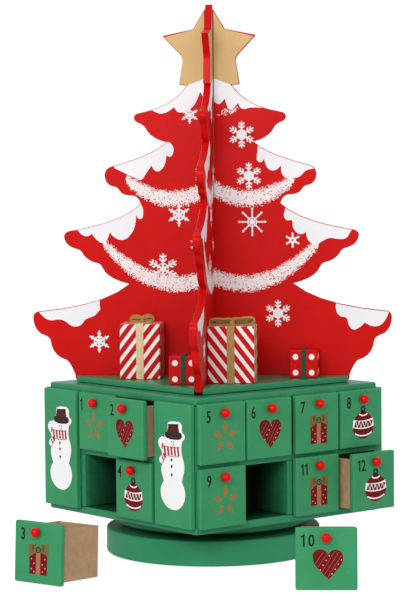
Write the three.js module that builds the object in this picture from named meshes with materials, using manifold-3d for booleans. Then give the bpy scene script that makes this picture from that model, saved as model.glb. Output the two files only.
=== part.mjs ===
// Tree advent calendar: a square cabinet of 24 drawers on a turntable, with a crossed-plate tree on top.
// Millimetres, +Z up. The origin is the centre of the base disc's underside, on the table.
// The front of the cabinet faces -Y, and its left face -X.
import * as THREE from 'three';
import { mergeVertices } from 'three/addons/utils/BufferGeometryUtils.js';
import Module from 'manifold-3d';

const manifold = await Module();
manifold.setup();

// Clearances
const SEAT = 0.2; // between pieces that are glued or rest on each other
const LAP_PLAY = 0.2; // each side of a board in the slot that it crosses
const PLATE_PLAY = 0.5; // each side of a tree plate in its slot
const FRONT_GAP = 0.2; // between a closed drawer's front and the cabinet
const TRAY_REST = 0.3; // under a tray

// Base and turntable
const BASE_R = 77;
const BASE_H = 18;
const BASE_ROUND = 1.4;
const TURN_R = 70;
const TURN_H = 7.2;
const TURN_ROUND = 2.4;
const BEARING_HALF = 38;
const BEARING_SHEET = 1;
const RACE_R = 27;
const RACE_W = 6;
const RACE_H = 0.35;
const RACE_GAP = 0.3;
const BEARING_HOLE_R = 15;

// Cabinet boards
const BOARD_T = 5.4;
const BAY_H = 38;
const DIVIDER_T = 4.5;
const END_WALL_T = 3;
const STEP_T = 4.5;
const LID_INSET = 0.6; // from the cabinet's face in to the lid's edge
const STEP_INSET = 12.3; // from the lid's edge in to the step board's
const EDGE_ROUND = 0.9;

// Drawers and overlay panels
const FRONT_W = 40.4;
const FRONT_T = 4.5;
const FRONT_REVEAL = 2.4; // between one front and the next, across and up
const FRONT_ROUND = 0.7;
const TRAY_WALL = 3;
const TRAY_SIDE_PLAY = 0.675; // each side of a tray in the narrowest bay
const TRAY_END_PLAY = 1.35; // behind a tray in the shallowest bay
const TRAY_HEADROOM = 2.7;
const KNOB_R = 3.3;
const KNOB_OUT = 2.6;
const KNOB_DROP = 6.5; // from a front's top edge down to its knob
const PANEL_INSET = 0.3; // from the cabinet's edge in to a panel's
const PANEL_REVEAL = 3.3; // between a panel and the drawers

// Tree plates
const PLATE_T = 5;
const LAP_Z = 130; // above the step board, where the two plates' slots meet
const FOOT_SETBACK = 1.9; // from the step board's corner in to the foot
const FOOT_LENGTH = 25.2;
const FOOT_TOE = 7.2; // length of the foot's raised toe
const TOE_RISE = 1.9;

// Gifts, each in the tree's frame: across the picture, and in front of the across plate
const GIFTS = {
  gift_large_left: { across: -48.2, front: 31.5, width: 28.7, depth: 28, height: 39, ribbon: 5.2 },
  gift_small_left: { across: -12.9, front: 73.5, width: 20, depth: 20, height: 20, ribbon: 3.4 },
  gift_large_right: { across: 19.2, front: 63.3, width: 32.6, depth: 28, height: 39.6, ribbon: 5.2 },
  gift_small_right: { across: 67.5, front: 23.4, width: 20, depth: 20, height: 20, ribbon: 3.4 },
};
const BOWS = {
  gift_large_left: { width: 17, depth: 8, height: 6 },
  gift_large_right: { width: 30, depth: 8, height: 3.6 },
};
const RIBBON_T = 0.5;

// Levels, from the table up
const BEARING_Z = BASE_H + SEAT;
const UPPER_PLATE_Z = BEARING_Z + BEARING_SHEET + RACE_H + RACE_GAP + RACE_H;
const TURN_Z = UPPER_PLATE_Z + BEARING_SHEET + SEAT;
const FLOOR_Z = TURN_Z + TURN_H + SEAT;
const LOWER_BAY_Z = FLOOR_Z + BOARD_T;
const SHELF_Z = LOWER_BAY_Z + BAY_H;
const UPPER_BAY_Z = SHELF_Z + BOARD_T;
const LID_Z = UPPER_BAY_Z + BAY_H;
const STEP_Z = LID_Z + BOARD_T + SEAT;
const TREE_Z = STEP_Z + STEP_T;

// Plan of the cabinet: four fronts to a face, and the boards behind them
const FRONT_PITCH = FRONT_W + FRONT_REVEAL;
const CAB_HALF = (3 * FRONT_PITCH + FRONT_W) / 2;
const LID_HALF = CAB_HALF - LID_INSET;
const STEP_HALF = LID_HALF - STEP_INSET;
const FOOT_OUTER = STEP_HALF * Math.SQRT2 - FOOT_SETBACK;
const FOOT_INNER = FOOT_OUTER - FOOT_LENGTH;
const BANK_HALF = FRONT_PITCH - DIVIDER_T / 2; // half-width of the band that holds the left and right drawers
const BANK_DEPTH = CAB_HALF - BANK_HALF - DIVIDER_T; // depth of the front and back drawers' bays
const INNER_BAY = FRONT_PITCH / 2;
const OUTER_BAY_W = CAB_HALF - END_WALL_T - FRONT_PITCH - DIVIDER_T / 2;
const OUTER_BAY = CAB_HALF - END_WALL_T - OUTER_BAY_W / 2;
const FRONT_H = BAY_H + BOARD_T - FRONT_REVEAL;
const FRONT_LAP = (FRONT_H - BAY_H) / 2;
const KNOB_Z = FRONT_H - KNOB_DROP;
const TRAY_W = OUTER_BAY_W - 2 * TRAY_SIDE_PLAY;
const TRAY_D = BANK_DEPTH - TRAY_END_PLAY;
const TRAY_H = BAY_H - TRAY_REST - TRAY_HEADROOM;
const PANEL_W = CAB_HALF - PANEL_INSET - (FRONT_PITCH + FRONT_W) / 2 - PANEL_REVEAL;

const paint = (color, roughness = 0.45) => new THREE.MeshStandardMaterial({ color, roughness, metalness: 0 });
const GREEN = () => paint(0x2f9162);
const RED = () => paint(0xc4120f, 0.4);
const STEEL = () => new THREE.MeshStandardMaterial({ color: 0xa9adb0, roughness: 0.35, metalness: 0.9 });

// Solids

function solidOf(geometry) {
  const bare = geometry.index ? geometry.toNonIndexed() : geometry.clone();
  bare.deleteAttribute('normal');
  bare.deleteAttribute('uv');
  const merged = mergeVertices(bare, 1e-4);
  const mesh = new manifold.Mesh({
    numProp: 3,
    vertProperties: new Float32Array(merged.attributes.position.array),
    triVerts: new Uint32Array(merged.index.array),
  });
  return new manifold.Manifold(mesh);
}

function geometryOf(solid) {
  const mesh = solid.getMesh();
  const geometry = new THREE.BufferGeometry();
  geometry.setAttribute('position', new THREE.BufferAttribute(new Float32Array(mesh.vertProperties), 3));
  geometry.setIndex(new THREE.BufferAttribute(new Uint32Array(mesh.triVerts), 1));
  geometry.computeVertexNormals();
  return geometry;
}

const join = (geometries) => geometryOf(geometries.map(solidOf).reduce((a, b) => a.add(b)));
const cut = (geometry, tools) => geometryOf(tools.map(solidOf).reduce((a, b) => a.subtract(b), solidOf(geometry)));

// A plain block between two corners
function block(x0, x1, y0, y1, z0, z1) {
  const geometry = new THREE.BoxGeometry(x1 - x0, y1 - y0, z1 - z0);
  return geometry.translate((x0 + x1) / 2, (y0 + y1) / 2, (z0 + z1) / 2);
}

// A shape in plan, raised from z0 to z1, with its top and bottom edges eased
function raised(shape, z0, z1, ease = 0, segments = 2) {
  const geometry = new THREE.ExtrudeGeometry(shape, {
    depth: z1 - z0 - 2 * ease,
    bevelEnabled: ease > 0,
    bevelThickness: ease,
    bevelSize: ease,
    bevelOffset: -ease,
    bevelSegments: segments,
    curveSegments: 8,
  });
  return geometry.translate(0, 0, z0 + ease);
}

function outline(points) {
  return new THREE.Shape(points.map(([x, y]) => new THREE.Vector2(x, y)));
}

const rectangle = (x0, x1, y0, y1) => outline([[x0, y0], [x1, y0], [x1, y1], [x0, y1]]);

// An upright board: drawn as depth against height, then stood up with its face along X
function upright(points, x0, thickness) {
  const geometry = new THREE.ExtrudeGeometry(outline(points), { depth: thickness, bevelEnabled: false });
  geometry.rotateX(Math.PI / 2).rotateZ(Math.PI / 2);
  return geometry.translate(x0, 0, 0);
}

// A round disc with quarter-round edges
function disc(radius, z0, z1, lowRound, topRound) {
  const profile = [new THREE.Vector2(0, z0)];
  const arc = (cx, cz, r, from, to) => {
    for (let i = 0; i <= 4; i += 1) {
      const t = from + ((to - from) * i) / 4;
      profile.push(new THREE.Vector2(cx + r * Math.cos(t), cz + r * Math.sin(t)));
    }
  };
  arc(radius - lowRound, z0 + lowRound, lowRound, -Math.PI / 2, 0);
  arc(radius - topRound, z1 - topRound, topRound, 0, Math.PI / 2);
  profile.push(new THREE.Vector2(0, z1));
  return new THREE.LatheGeometry(profile, 72).rotateX(Math.PI / 2);
}

function ring(inner, outer, z0, z1) {
  const profile = [[inner, z0], [outer, z0], [outer, z1], [inner, z1], [inner, z0]];
  return new THREE.LatheGeometry(profile.map(([x, y]) => new THREE.Vector2(x, y)), 40).rotateX(Math.PI / 2);
}

const calendar = new THREE.Group();
const treeFrame = new THREE.Group(); // turned so that its X runs across the picture, along a cabinet diagonal
treeFrame.rotation.z = -Math.PI / 4;
treeFrame.position.z = TREE_Z;
calendar.add(treeFrame);

function place(name, geometry, material, parent = calendar) {
  const mesh = new THREE.Mesh(geometry, material);
  mesh.name = name;
  parent.add(mesh);
  return mesh;
}

// Base, bearing and turntable

function bearingPlate(sheetZ, raceZ) {
  const sheet = block(-BEARING_HALF, BEARING_HALF, -BEARING_HALF, BEARING_HALF, sheetZ, sheetZ + BEARING_SHEET);
  const hole = disc(BEARING_HOLE_R, sheetZ - 1, sheetZ + BEARING_SHEET + 1, 0.1, 0.1);
  const sunk = 0.2; // how far the race reaches into its sheet, so that they are one piece
  const low = raceZ > sheetZ ? raceZ - sunk : raceZ;
  const race = ring(RACE_R - RACE_W / 2, RACE_R + RACE_W / 2, low, low + RACE_H + sunk);
  return join([cut(sheet, [hole]), race]);
}

function makeTurntable() {
  place('base_disc', disc(BASE_R, 0, BASE_H, BASE_ROUND, BASE_ROUND), GREEN());
  place('bearing_lower_plate', bearingPlate(BEARING_Z, BEARING_Z + BEARING_SHEET), STEEL());
  place('bearing_upper_plate', bearingPlate(UPPER_PLATE_Z, UPPER_PLATE_Z - RACE_H), STEEL());
  place('turntable_disc', disc(TURN_R, TURN_Z, TURN_Z + TURN_H, TURN_ROUND, EDGE_ROUND), GREEN());
}

// Cabinet boards

const WALL_LOW = LOWER_BAY_Z + SEAT;
const WALL_HIGH = LID_Z - SEAT;
const SLOT_LOW = SHELF_Z - LAP_PLAY;
const SLOT_HIGH = SHELF_Z + BOARD_T + LAP_PLAY;

// A divider's outline from its front edge to its rear, slotted at the front where the shelf passes
function dividerOutline(frontY, rearY) {
  const slotY = (frontY + rearY) / 2 + LAP_PLAY;
  return [
    [frontY, WALL_LOW], [rearY, WALL_LOW], [rearY, WALL_HIGH], [frontY, WALL_HIGH],
    [frontY, SLOT_HIGH], [slotY, SLOT_HIGH], [slotY, SLOT_LOW], [frontY, SLOT_LOW],
  ];
}

// A shelf's outline in plan, slotted at the rear where each divider passes
function shelfOutline(halfWidth, frontY, rearY, dividers) {
  const slotY = (frontY + rearY) / 2 - LAP_PLAY;
  const halfSlot = DIVIDER_T / 2 + LAP_PLAY;
  const points = [[halfWidth, rearY], [halfWidth, frontY], [-halfWidth, frontY], [-halfWidth, rearY]];
  for (const x of dividers) {
    points.push([x - halfSlot, rearY], [x - halfSlot, slotY], [x + halfSlot, slotY], [x + halfSlot, rearY]);
  }
  return outline(points.reverse());
}

// The boards of the front bank, or of the back bank when turned half round
function makeBank(side, turn) {
  const bank = new THREE.Group();
  bank.rotation.z = turn;
  calendar.add(bank);
  const rearY = -CAB_HALF + BANK_DEPTH - SEAT;
  const outer = CAB_HALF - END_WALL_T;
  const columns = [-FRONT_PITCH, 0, FRONT_PITCH];
  const shelf = shelfOutline(outer - SEAT, -CAB_HALF, rearY, columns);
  place(`${side}_shelf`, raised(shelf, SHELF_Z, SHELF_Z + BOARD_T), GREEN(), bank);
  columns.forEach((x, i) => {
    const divider = upright(dividerOutline(-CAB_HALF, rearY), x - DIVIDER_T / 2, DIVIDER_T);
    place(`${side}_divider_${i + 1}`, divider, GREEN(), bank);
  });
  place(`${side}_end_wall_left`, block(-CAB_HALF, -outer, -CAB_HALF, rearY, WALL_LOW, WALL_HIGH), GREEN(), bank);
  place(`${side}_end_wall_right`, block(outer, CAB_HALF, -CAB_HALF, rearY, WALL_LOW, WALL_HIGH), GREEN(), bank);
  const wall = block(-CAB_HALF, CAB_HALF, -BANK_HALF - DIVIDER_T, -BANK_HALF, WALL_LOW, WALL_HIGH);
  place(`${side}_bank_rear_wall`, wall, GREEN(), bank);
}

// The middle band behind the left and right faces
function makeMiddle() {
  const half = BANK_HALF - SEAT;
  const crossHalf = DIVIDER_T / 2;
  const lapZ = (WALL_LOW + WALL_HIGH) / 2;
  for (const [side, turn] of [['left', -Math.PI / 2], ['right', Math.PI / 2]]) {
    const band = new THREE.Group();
    band.rotation.z = turn;
    calendar.add(band);
    const shelf = shelfOutline(half, -CAB_HALF, -crossHalf - SEAT, [0]);
    place(`${side}_shelf`, raised(shelf, SHELF_Z, SHELF_Z + BOARD_T), GREEN(), band);
  }
  // the centre divider runs from the left face to the right, slotted for both shelves and for the cross wall
  const slotX = (CAB_HALF + crossHalf + SEAT) / 2 - LAP_PLAY;
  const notch = crossHalf + LAP_PLAY;
  const long = [
    [-CAB_HALF, WALL_LOW], [CAB_HALF, WALL_LOW], [CAB_HALF, SLOT_LOW], [slotX, SLOT_LOW], [slotX, SLOT_HIGH],
    [CAB_HALF, SLOT_HIGH], [CAB_HALF, WALL_HIGH], [notch, WALL_HIGH], [notch, lapZ - LAP_PLAY],
    [-notch, lapZ - LAP_PLAY], [-notch, WALL_HIGH], [-CAB_HALF, WALL_HIGH], [-CAB_HALF, SLOT_HIGH],
    [-slotX, SLOT_HIGH], [-slotX, SLOT_LOW], [-CAB_HALF, SLOT_LOW],
  ];
  const divider = upright(long, -DIVIDER_T / 2, DIVIDER_T);
  place('centre_divider', divider, GREEN()).rotation.z = -Math.PI / 2;
  const cross = [
    [-half, WALL_LOW], [-notch, WALL_LOW], [-notch, lapZ], [notch, lapZ], [notch, WALL_LOW], [half, WALL_LOW],
    [half, WALL_HIGH], [-half, WALL_HIGH],
  ];
  place('cross_wall', upright(cross, -crossHalf, DIVIDER_T), GREEN());
}

function makeCaps() {
  const floor = rectangle(-CAB_HALF, CAB_HALF, -CAB_HALF, CAB_HALF);
  place('cabinet_floor', raised(floor, FLOOR_Z, LOWER_BAY_Z, EDGE_ROUND), GREEN());
  const lid = rectangle(-LID_HALF, LID_HALF, -LID_HALF, LID_HALF);
  place('cabinet_top', raised(lid, LID_Z, LID_Z + BOARD_T, EDGE_ROUND), GREEN());
  const step = rectangle(-STEP_HALF, STEP_HALF, -STEP_HALF, STEP_HALF);
  const slots = [0, 1, 2, 3].map((quarter) => {
    const halfSlot = PLATE_T / 2 + PLATE_PLAY;
    const slot = block(FOOT_INNER - PLATE_PLAY, 2 * STEP_HALF, -halfSlot, halfSlot, STEP_Z - 1, TREE_Z + 1);
    return slot.rotateZ((quarter + 0.5) * (Math.PI / 2));
  });
  place('step_board', cut(raised(step, STEP_Z, TREE_Z, EDGE_ROUND), slots), GREEN());
}

// The snowman panels stand on the left and right faces, beside the drawers
function makePanels() {
  const low = LOWER_BAY_Z - FRONT_LAP;
  const high = UPPER_BAY_Z - FRONT_LAP + FRONT_H;
  for (const [side, turn] of [['left', -Math.PI / 2], ['right', Math.PI / 2]]) {
    for (const [end, sign] of [['front', side === 'left' ? 1 : -1], ['back', side === 'left' ? -1 : 1]]) {
      const shape = rectangle(-PANEL_W / 2, PANEL_W / 2, low, high);
      const panel = raised(shape, 0, FRONT_T, FRONT_ROUND).rotateX(Math.PI / 2);
      panel.translate(sign * (CAB_HALF - PANEL_INSET - PANEL_W / 2), -CAB_HALF - SEAT, 0);
      place(`snowman_panel_${side}_${end}`, panel, GREEN()).rotation.z = turn;
    }
  }
}

// Drawers

// One drawer: front, open tray and knob in one piece. Its Y is 0 at the cabinet's face and its Z is 0 at the bay's floor
function drawerGeometry(frontX, trayX) {
  const face = rectangle(frontX - FRONT_W / 2, frontX + FRONT_W / 2, -FRONT_LAP, FRONT_H - FRONT_LAP);
  const front = raised(face, 0, FRONT_T, FRONT_ROUND).rotateX(Math.PI / 2).translate(0, -FRONT_GAP, 0);
  const rear = TRAY_D - FRONT_GAP;
  const sunk = 1; // how far the tray's ends are housed in the front
  const half = TRAY_W / 2;
  const top = TRAY_REST + TRAY_H;
  const outside = block(trayX - half, trayX + half, -FRONT_GAP - sunk, rear, TRAY_REST, top);
  const hollow = block(
    trayX - half + TRAY_WALL, trayX + half - TRAY_WALL, -FRONT_GAP - 2 * sunk, rear - TRAY_WALL,
    TRAY_REST + TRAY_WALL, top + 1,
  );
  const knob = new THREE.SphereGeometry(KNOB_R, 14, 10);
  knob.translate(frontX, -FRONT_GAP - FRONT_T - KNOB_OUT, KNOB_Z - FRONT_LAP);
  return join([cut(outside, [hollow]), front, knob]);
}

// Each face: the number of its first drawer, its columns, and its turn about the cabinet's axis
const FACES = [
  { first: 1, columns: 2, turn: -Math.PI / 2 },
  { first: 5, columns: 4, turn: 0 },
  { first: 13, columns: 2, turn: Math.PI / 2 },
  { first: 17, columns: 4, turn: Math.PI },
];
const PULLED = { 2: 7, 12: 12.5 }; // how far these stand open
const SET_OFF = { 6: -0.9, 10: -0.9, 7: 0.5, 11: 0.5 }; // how far these fronts sit off their column
// Drawers that lie on the table: where the front's lower edge stands, and which way it faces, in degrees from +X
const LOOSE = {
  3: { x: -176.1, y: -28.8, facing: 194.3 },
  10: { x: -47.9, y: -174.4, facing: 227.5 },
};

function layOnTable(mesh, { x, y, facing }) {
  const reach = FRONT_GAP + FRONT_ROUND; // from the cabinet's face out to the line that the front stands on
  const tilt = Math.atan((TRAY_REST + FRONT_LAP) / (TRAY_D - FRONT_GAP + reach));
  const [c, s] = [Math.cos(tilt), Math.sin(tilt)];
  const leaning = new THREE.Group();
  leaning.rotation.x = -tilt;
  leaning.position.set(0, (FRONT_GAP + FRONT_T) * c + FRONT_LAP * s, FRONT_LAP * c - reach * s);
  leaning.add(mesh);
  const standing = new THREE.Group();
  standing.position.set(x, y, 0);
  standing.rotation.z = THREE.MathUtils.degToRad(facing + 90);
  standing.add(leaning);
  calendar.add(standing);
}

function makeDrawers() {
  for (const { first, columns, turn } of FACES) {
    const face = new THREE.Group();
    face.rotation.z = turn;
    calendar.add(face);
    for (let i = 0; i < 2 * columns; i += 1) {
      const number = first + i;
      const column = i % columns;
      const centre = (column - (columns - 1) / 2) * FRONT_PITCH;
      const outermost = columns === 4 && (column === 0 || column === 3);
      const bay = Math.sign(centre) * (outermost ? OUTER_BAY : INNER_BAY);
      const geometry = drawerGeometry(SET_OFF[number] ?? 0, LOOSE[number] ? 0 : bay - centre);
      const mesh = place(`drawer_${String(number).padStart(2, '0')}`, geometry, GREEN(), face);
      mesh.position.set(centre, -CAB_HALF - (PULLED[number] ?? 0), i < columns ? UPPER_BAY_Z : LOWER_BAY_Z);
      if (LOOSE[number]) {
        mesh.position.set(0, 0, 0);
        layOnTable(mesh, LOOSE[number]);
      }
    }
  }
}

// Tree

// Right half of a plate's outline, heights above the step board: each entry is a point, or a bend and the point after it
const STAR_EDGE = [
  [1, 266], [11.3, 248.6], [33.2, 244.2], [32.9, 243.4], [21.8, 231.6], [19.2, 229.4, 18.9, 226.5], [21.6, 209.2],
  [15.9, 208.6],
];
const TIERS = [
  [[26, 193.7, 50, 189.4], [54.4, 189, 54.6, 185.9], [54.4, 183.4, 51.5, 182.3], [48.2, 181, 46.4, 178.8],
    [42.8, 170.8, 31.4, 168.2]],
  [[39.5, 159.6, 70.5, 151.3], [75.8, 150.2, 76.3, 145], [76, 138.6, 71, 137], [67.8, 136.6, 66.4, 134.9],
    [63.8, 129.9, 57.2, 130.2], [51.8, 130, 50.3, 124]],
  [[63.5, 111.4, 99, 105.4], [106.3, 104.9, 106.4, 100.9], [105.8, 94.4, 98.4, 92.1], [94.6, 91.4, 93.4, 89.3],
    [90.4, 83, 81.2, 81.2], [79.6, 80.4, 78.6, 78.3], [75.4, 70.2, 59.2, 66.4]],
  [[78, 50.8, 126, 46.5], [129.4, 46.2, 129.7, 42], [129.6, 34.8, 124.4, 30.6], [118.2, 28.4, 117.2, 26],
    [116.2, 14.2, 105.6, 11.4], [102.8, 9.6, FOOT_OUTER, 0.5]],
];

function plateOutline() {
  const footLow = LID_Z + BOARD_T + 2 * SEAT - TREE_Z;
  const rest = SEAT + 0.1; // the lower edge stands this far above the step board
  const foot = [
    [FOOT_OUTER, footLow + TOE_RISE], [FOOT_OUTER - FOOT_TOE, footLow], [FOOT_INNER, footLow], [FOOT_INNER, rest],
  ];
  const half = [...STAR_EDGE, ...TIERS.flat(), ...foot];
  const shape = new THREE.Shape();
  const [tipX, tipZ] = half[0];
  shape.moveTo(-tipX, tipZ);
  shape.lineTo(tipX, tipZ);
  const follow = (mirror, steps) => {
    for (const [a, b, c, d] of steps) {
      if (c === undefined) shape.lineTo(mirror * a, b);
      else shape.quadraticCurveTo(mirror * a, b, mirror * c, d);
    }
  };
  follow(1, half.slice(1));
  // back up the other side: the same bends, each walked from its far end
  const ends = half.map((step) => step.slice(-2));
  shape.lineTo(-ends.at(-1)[0], ends.at(-1)[1]);
  const back = [];
  for (let i = half.length - 1; i > 0; i -= 1) {
    back.push(half[i].length === 4 ? [half[i][0], half[i][1], ...ends[i - 1]] : ends[i - 1]);
  }
  follow(-1, back.slice(0, -1));
  return shape;
}

// A plate across X, standing on the step board, with half of the cross lap cut from its top or its bottom
function treePlate(fromTop) {
  const plate = new THREE.ExtrudeGeometry(plateOutline(), { depth: PLATE_T, bevelEnabled: false, curveSegments: 5 });
  plate.rotateX(Math.PI / 2).translate(0, PLATE_T / 2, 0);
  const halfSlot = PLATE_T / 2 + PLATE_PLAY;
  const past = 2 * TREE_Z; // beyond the plate's top or bottom
  const [low, high] = fromTop ? [LAP_Z - LAP_PLAY, LAP_Z + past] : [LAP_Z - past, LAP_Z + LAP_PLAY];
  return cut(plate, [block(-halfSlot, halfSlot, -PLATE_T, PLATE_T, low, high)]);
}

function makeTree() {
  place('tree_plate_across', treePlate(true), RED(), treeFrame);
  place('tree_plate_through', treePlate(false), RED(), treeFrame).rotation.z = Math.PI / 2;
}

// Gifts

function bowGeometry({ width, depth, height }, z) {
  const sunk = 0.5; // how far the bow reaches into the ribbon that it is tied from
  const loop = (side) => {
    const geometry = new THREE.SphereGeometry(1, 12, 8).scale(width / 4, depth / 2, height / 2);
    return geometry.translate((side * width) / 4, 0, z + height / 2 - sunk);
  };
  const knot = new THREE.SphereGeometry(1, 10, 8).scale(width / 8, depth / 3, height / 2.4);
  return [loop(-1), loop(1), knot.translate(0, 0, z + height / 2 - sunk)];
}

function makeGifts() {
  for (const [name, { across, front, width, depth, height, ribbon }] of Object.entries(GIFTS)) {
    const [w, d, band] = [width / 2, depth / 2, ribbon / 2];
    const solids = [
      block(-w, w, -d, d, 0, height),
      block(-band, band, -d - RIBBON_T, d + RIBBON_T, 0, height + RIBBON_T),
    ];
    if (BOWS[name]) solids.push(...bowGeometry(BOWS[name], height + RIBBON_T));
    const gift = place(name, join(solids), RED(), treeFrame);
    gift.position.set(across, -front + depth / 2, SEAT);
  }
}

makeTurntable();
makeBank('front', 0);
makeBank('back', Math.PI);
makeMiddle();
makeCaps();
makePanels();
makeDrawers();
makeTree();
makeGifts();

export default calendar;
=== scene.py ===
"""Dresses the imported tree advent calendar: painted boards, numbered drawers, a printed tree and gifts."""
from __future__ import annotations

import logging
import math
from collections.abc import Callable, Iterator, Sequence
from contextlib import contextmanager
from dataclasses import dataclass, field
from enum import Enum

import bpy
from mathutils import Matrix, Vector

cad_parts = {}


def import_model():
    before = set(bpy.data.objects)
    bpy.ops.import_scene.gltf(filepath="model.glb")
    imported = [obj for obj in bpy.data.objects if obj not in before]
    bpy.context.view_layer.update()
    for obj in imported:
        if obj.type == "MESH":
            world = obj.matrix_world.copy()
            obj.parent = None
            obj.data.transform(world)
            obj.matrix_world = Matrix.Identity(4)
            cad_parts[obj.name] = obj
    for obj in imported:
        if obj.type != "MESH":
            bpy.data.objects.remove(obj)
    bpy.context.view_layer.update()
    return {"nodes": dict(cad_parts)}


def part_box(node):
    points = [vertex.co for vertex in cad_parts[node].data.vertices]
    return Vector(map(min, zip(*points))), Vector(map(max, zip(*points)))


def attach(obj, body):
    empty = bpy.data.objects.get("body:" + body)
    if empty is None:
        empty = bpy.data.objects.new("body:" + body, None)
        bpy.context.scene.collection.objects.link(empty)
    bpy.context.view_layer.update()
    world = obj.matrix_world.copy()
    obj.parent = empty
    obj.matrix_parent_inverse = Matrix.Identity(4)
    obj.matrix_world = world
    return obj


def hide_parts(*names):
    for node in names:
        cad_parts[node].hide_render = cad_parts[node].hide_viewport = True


logging.basicConfig(level=logging.INFO, format="%(message)s")
log = logging.getLogger("calendar")

MM = 0.001
UP = (0.0, 0.0, 1.0)
DIAGONAL = math.sqrt(0.5)
FACING = 0.7
Point = tuple[float, float]
Rgb = tuple[float, float, float]
Piece = bpy.types.Object
Nodes = dict[str, Piece]


class Slot(Enum):
    """The record's material slots."""

    GREEN = "green_board"
    DRAWER = "drawer_board"
    PANEL = "panel_board"
    RED = "red_tree_board"
    GIFT = "red_gift_block"
    STEEL = "steel"


class Crystal(Enum):
    """The kinds of snow crystal on the tree."""

    FERN = "solid middle, leafy arms"
    PIERCED_FERN = "pierced middle, leafy arms"
    PIERCED = "pierced middle, stubby arms"
    SPOKES = "eight thin beaded arms"
    SMALL = "small, with a ring in the middle"


class Motif(Enum):
    """The four pictures that repeat over the drawers, in the order of their numbers."""

    STAR = 0
    HEART = 1
    PARCEL = 2
    BAUBLE = 3


def srgb(red: int, green: int, blue: int) -> Rgb:
    """Linear colour of an 8-bit screen colour.

    Args:
        red: Red, 0 to 255.
        green: Green, 0 to 255.
        blue: Blue, 0 to 255.

    Returns:
        The colour's linear red, green and blue.
    """
    levels = [value / 255 for value in (red, green, blue)]
    return tuple(((c + 0.055) / 1.055) ** 2.4 if c > 0.04045 else c / 12.92 for c in levels)


# Shader maths


class Term:
    """A socket in a material, so that shader maths reads as Python."""

    def __init__(self, graph: Graph, socket: bpy.types.NodeSocket) -> None:
        """Keeps the socket and its graph."""
        self.graph = graph
        self.socket = socket

    def math(self, operation: str, *others: Source) -> Term:
        """A Math node on this socket.

        Args:
            operation: The node's operation.
            others: Its second and third inputs.

        Returns:
            The node's output.
        """
        return self.graph.add("ShaderNodeMath", {"operation": operation}, dict(enumerate((self, *others))))

    def __add__(self, other: Source) -> Term:
        """Sum."""
        return self.math("ADD", other)

    def __radd__(self, other: Source) -> Term:
        """Sum with a number on the left."""
        return self.math("ADD", other)

    def __sub__(self, other: Source) -> Term:
        """Difference."""
        return self.math("SUBTRACT", other)

    def __rsub__(self, other: float) -> Term:
        """A number less this."""
        return self.math("MULTIPLY_ADD", -1.0, other)

    def __mul__(self, other: Source) -> Term:
        """Product."""
        return self.math("MULTIPLY", other)

    def __rmul__(self, other: Source) -> Term:
        """Product with a number on the left."""
        return self.math("MULTIPLY", other)

    def __truediv__(self, other: Source) -> Term:
        """Quotient."""
        return self.math("DIVIDE", other)

    def __pow__(self, power: float) -> Term:
        """Power."""
        return self.math("POWER", power)

    def size(self) -> Term:
        """Absolute value."""
        return self.math("ABSOLUTE")

    def above(self, limit: Source) -> Term:
        """1 where this passes the limit, and 0 elsewhere."""
        return self.math("GREATER_THAN", limit)

    def most(self, other: Source) -> Term:
        """The larger of two."""
        return self.math("MAXIMUM", other)

    def cycle(self, period: float) -> Term:
        """Remainder, always positive."""
        return self.math("FLOORED_MODULO", period)

    def clamped(self) -> Term:
        """Limited to 0 to 1."""
        return self.graph.add("ShaderNodeClamp", {}, {0: self})

    def swing(self, width: float) -> Term:
        """A swing of a width about 0, from a value of 0 to 1."""
        return (self - 0.5) * width

    def contrast(self, gain: float) -> Term:
        """Spread about one half by a gain, and limited to 0 to 1."""
        return (self.swing(gain) + 0.5).clamped()

    def rise(self, start: float, gain: float) -> Term:
        """0 up to a start, from where it rises by a gain, up to 1."""
        return ((self - start) * gain).clamped()


Source = Term | float | Sequence[float]


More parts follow.
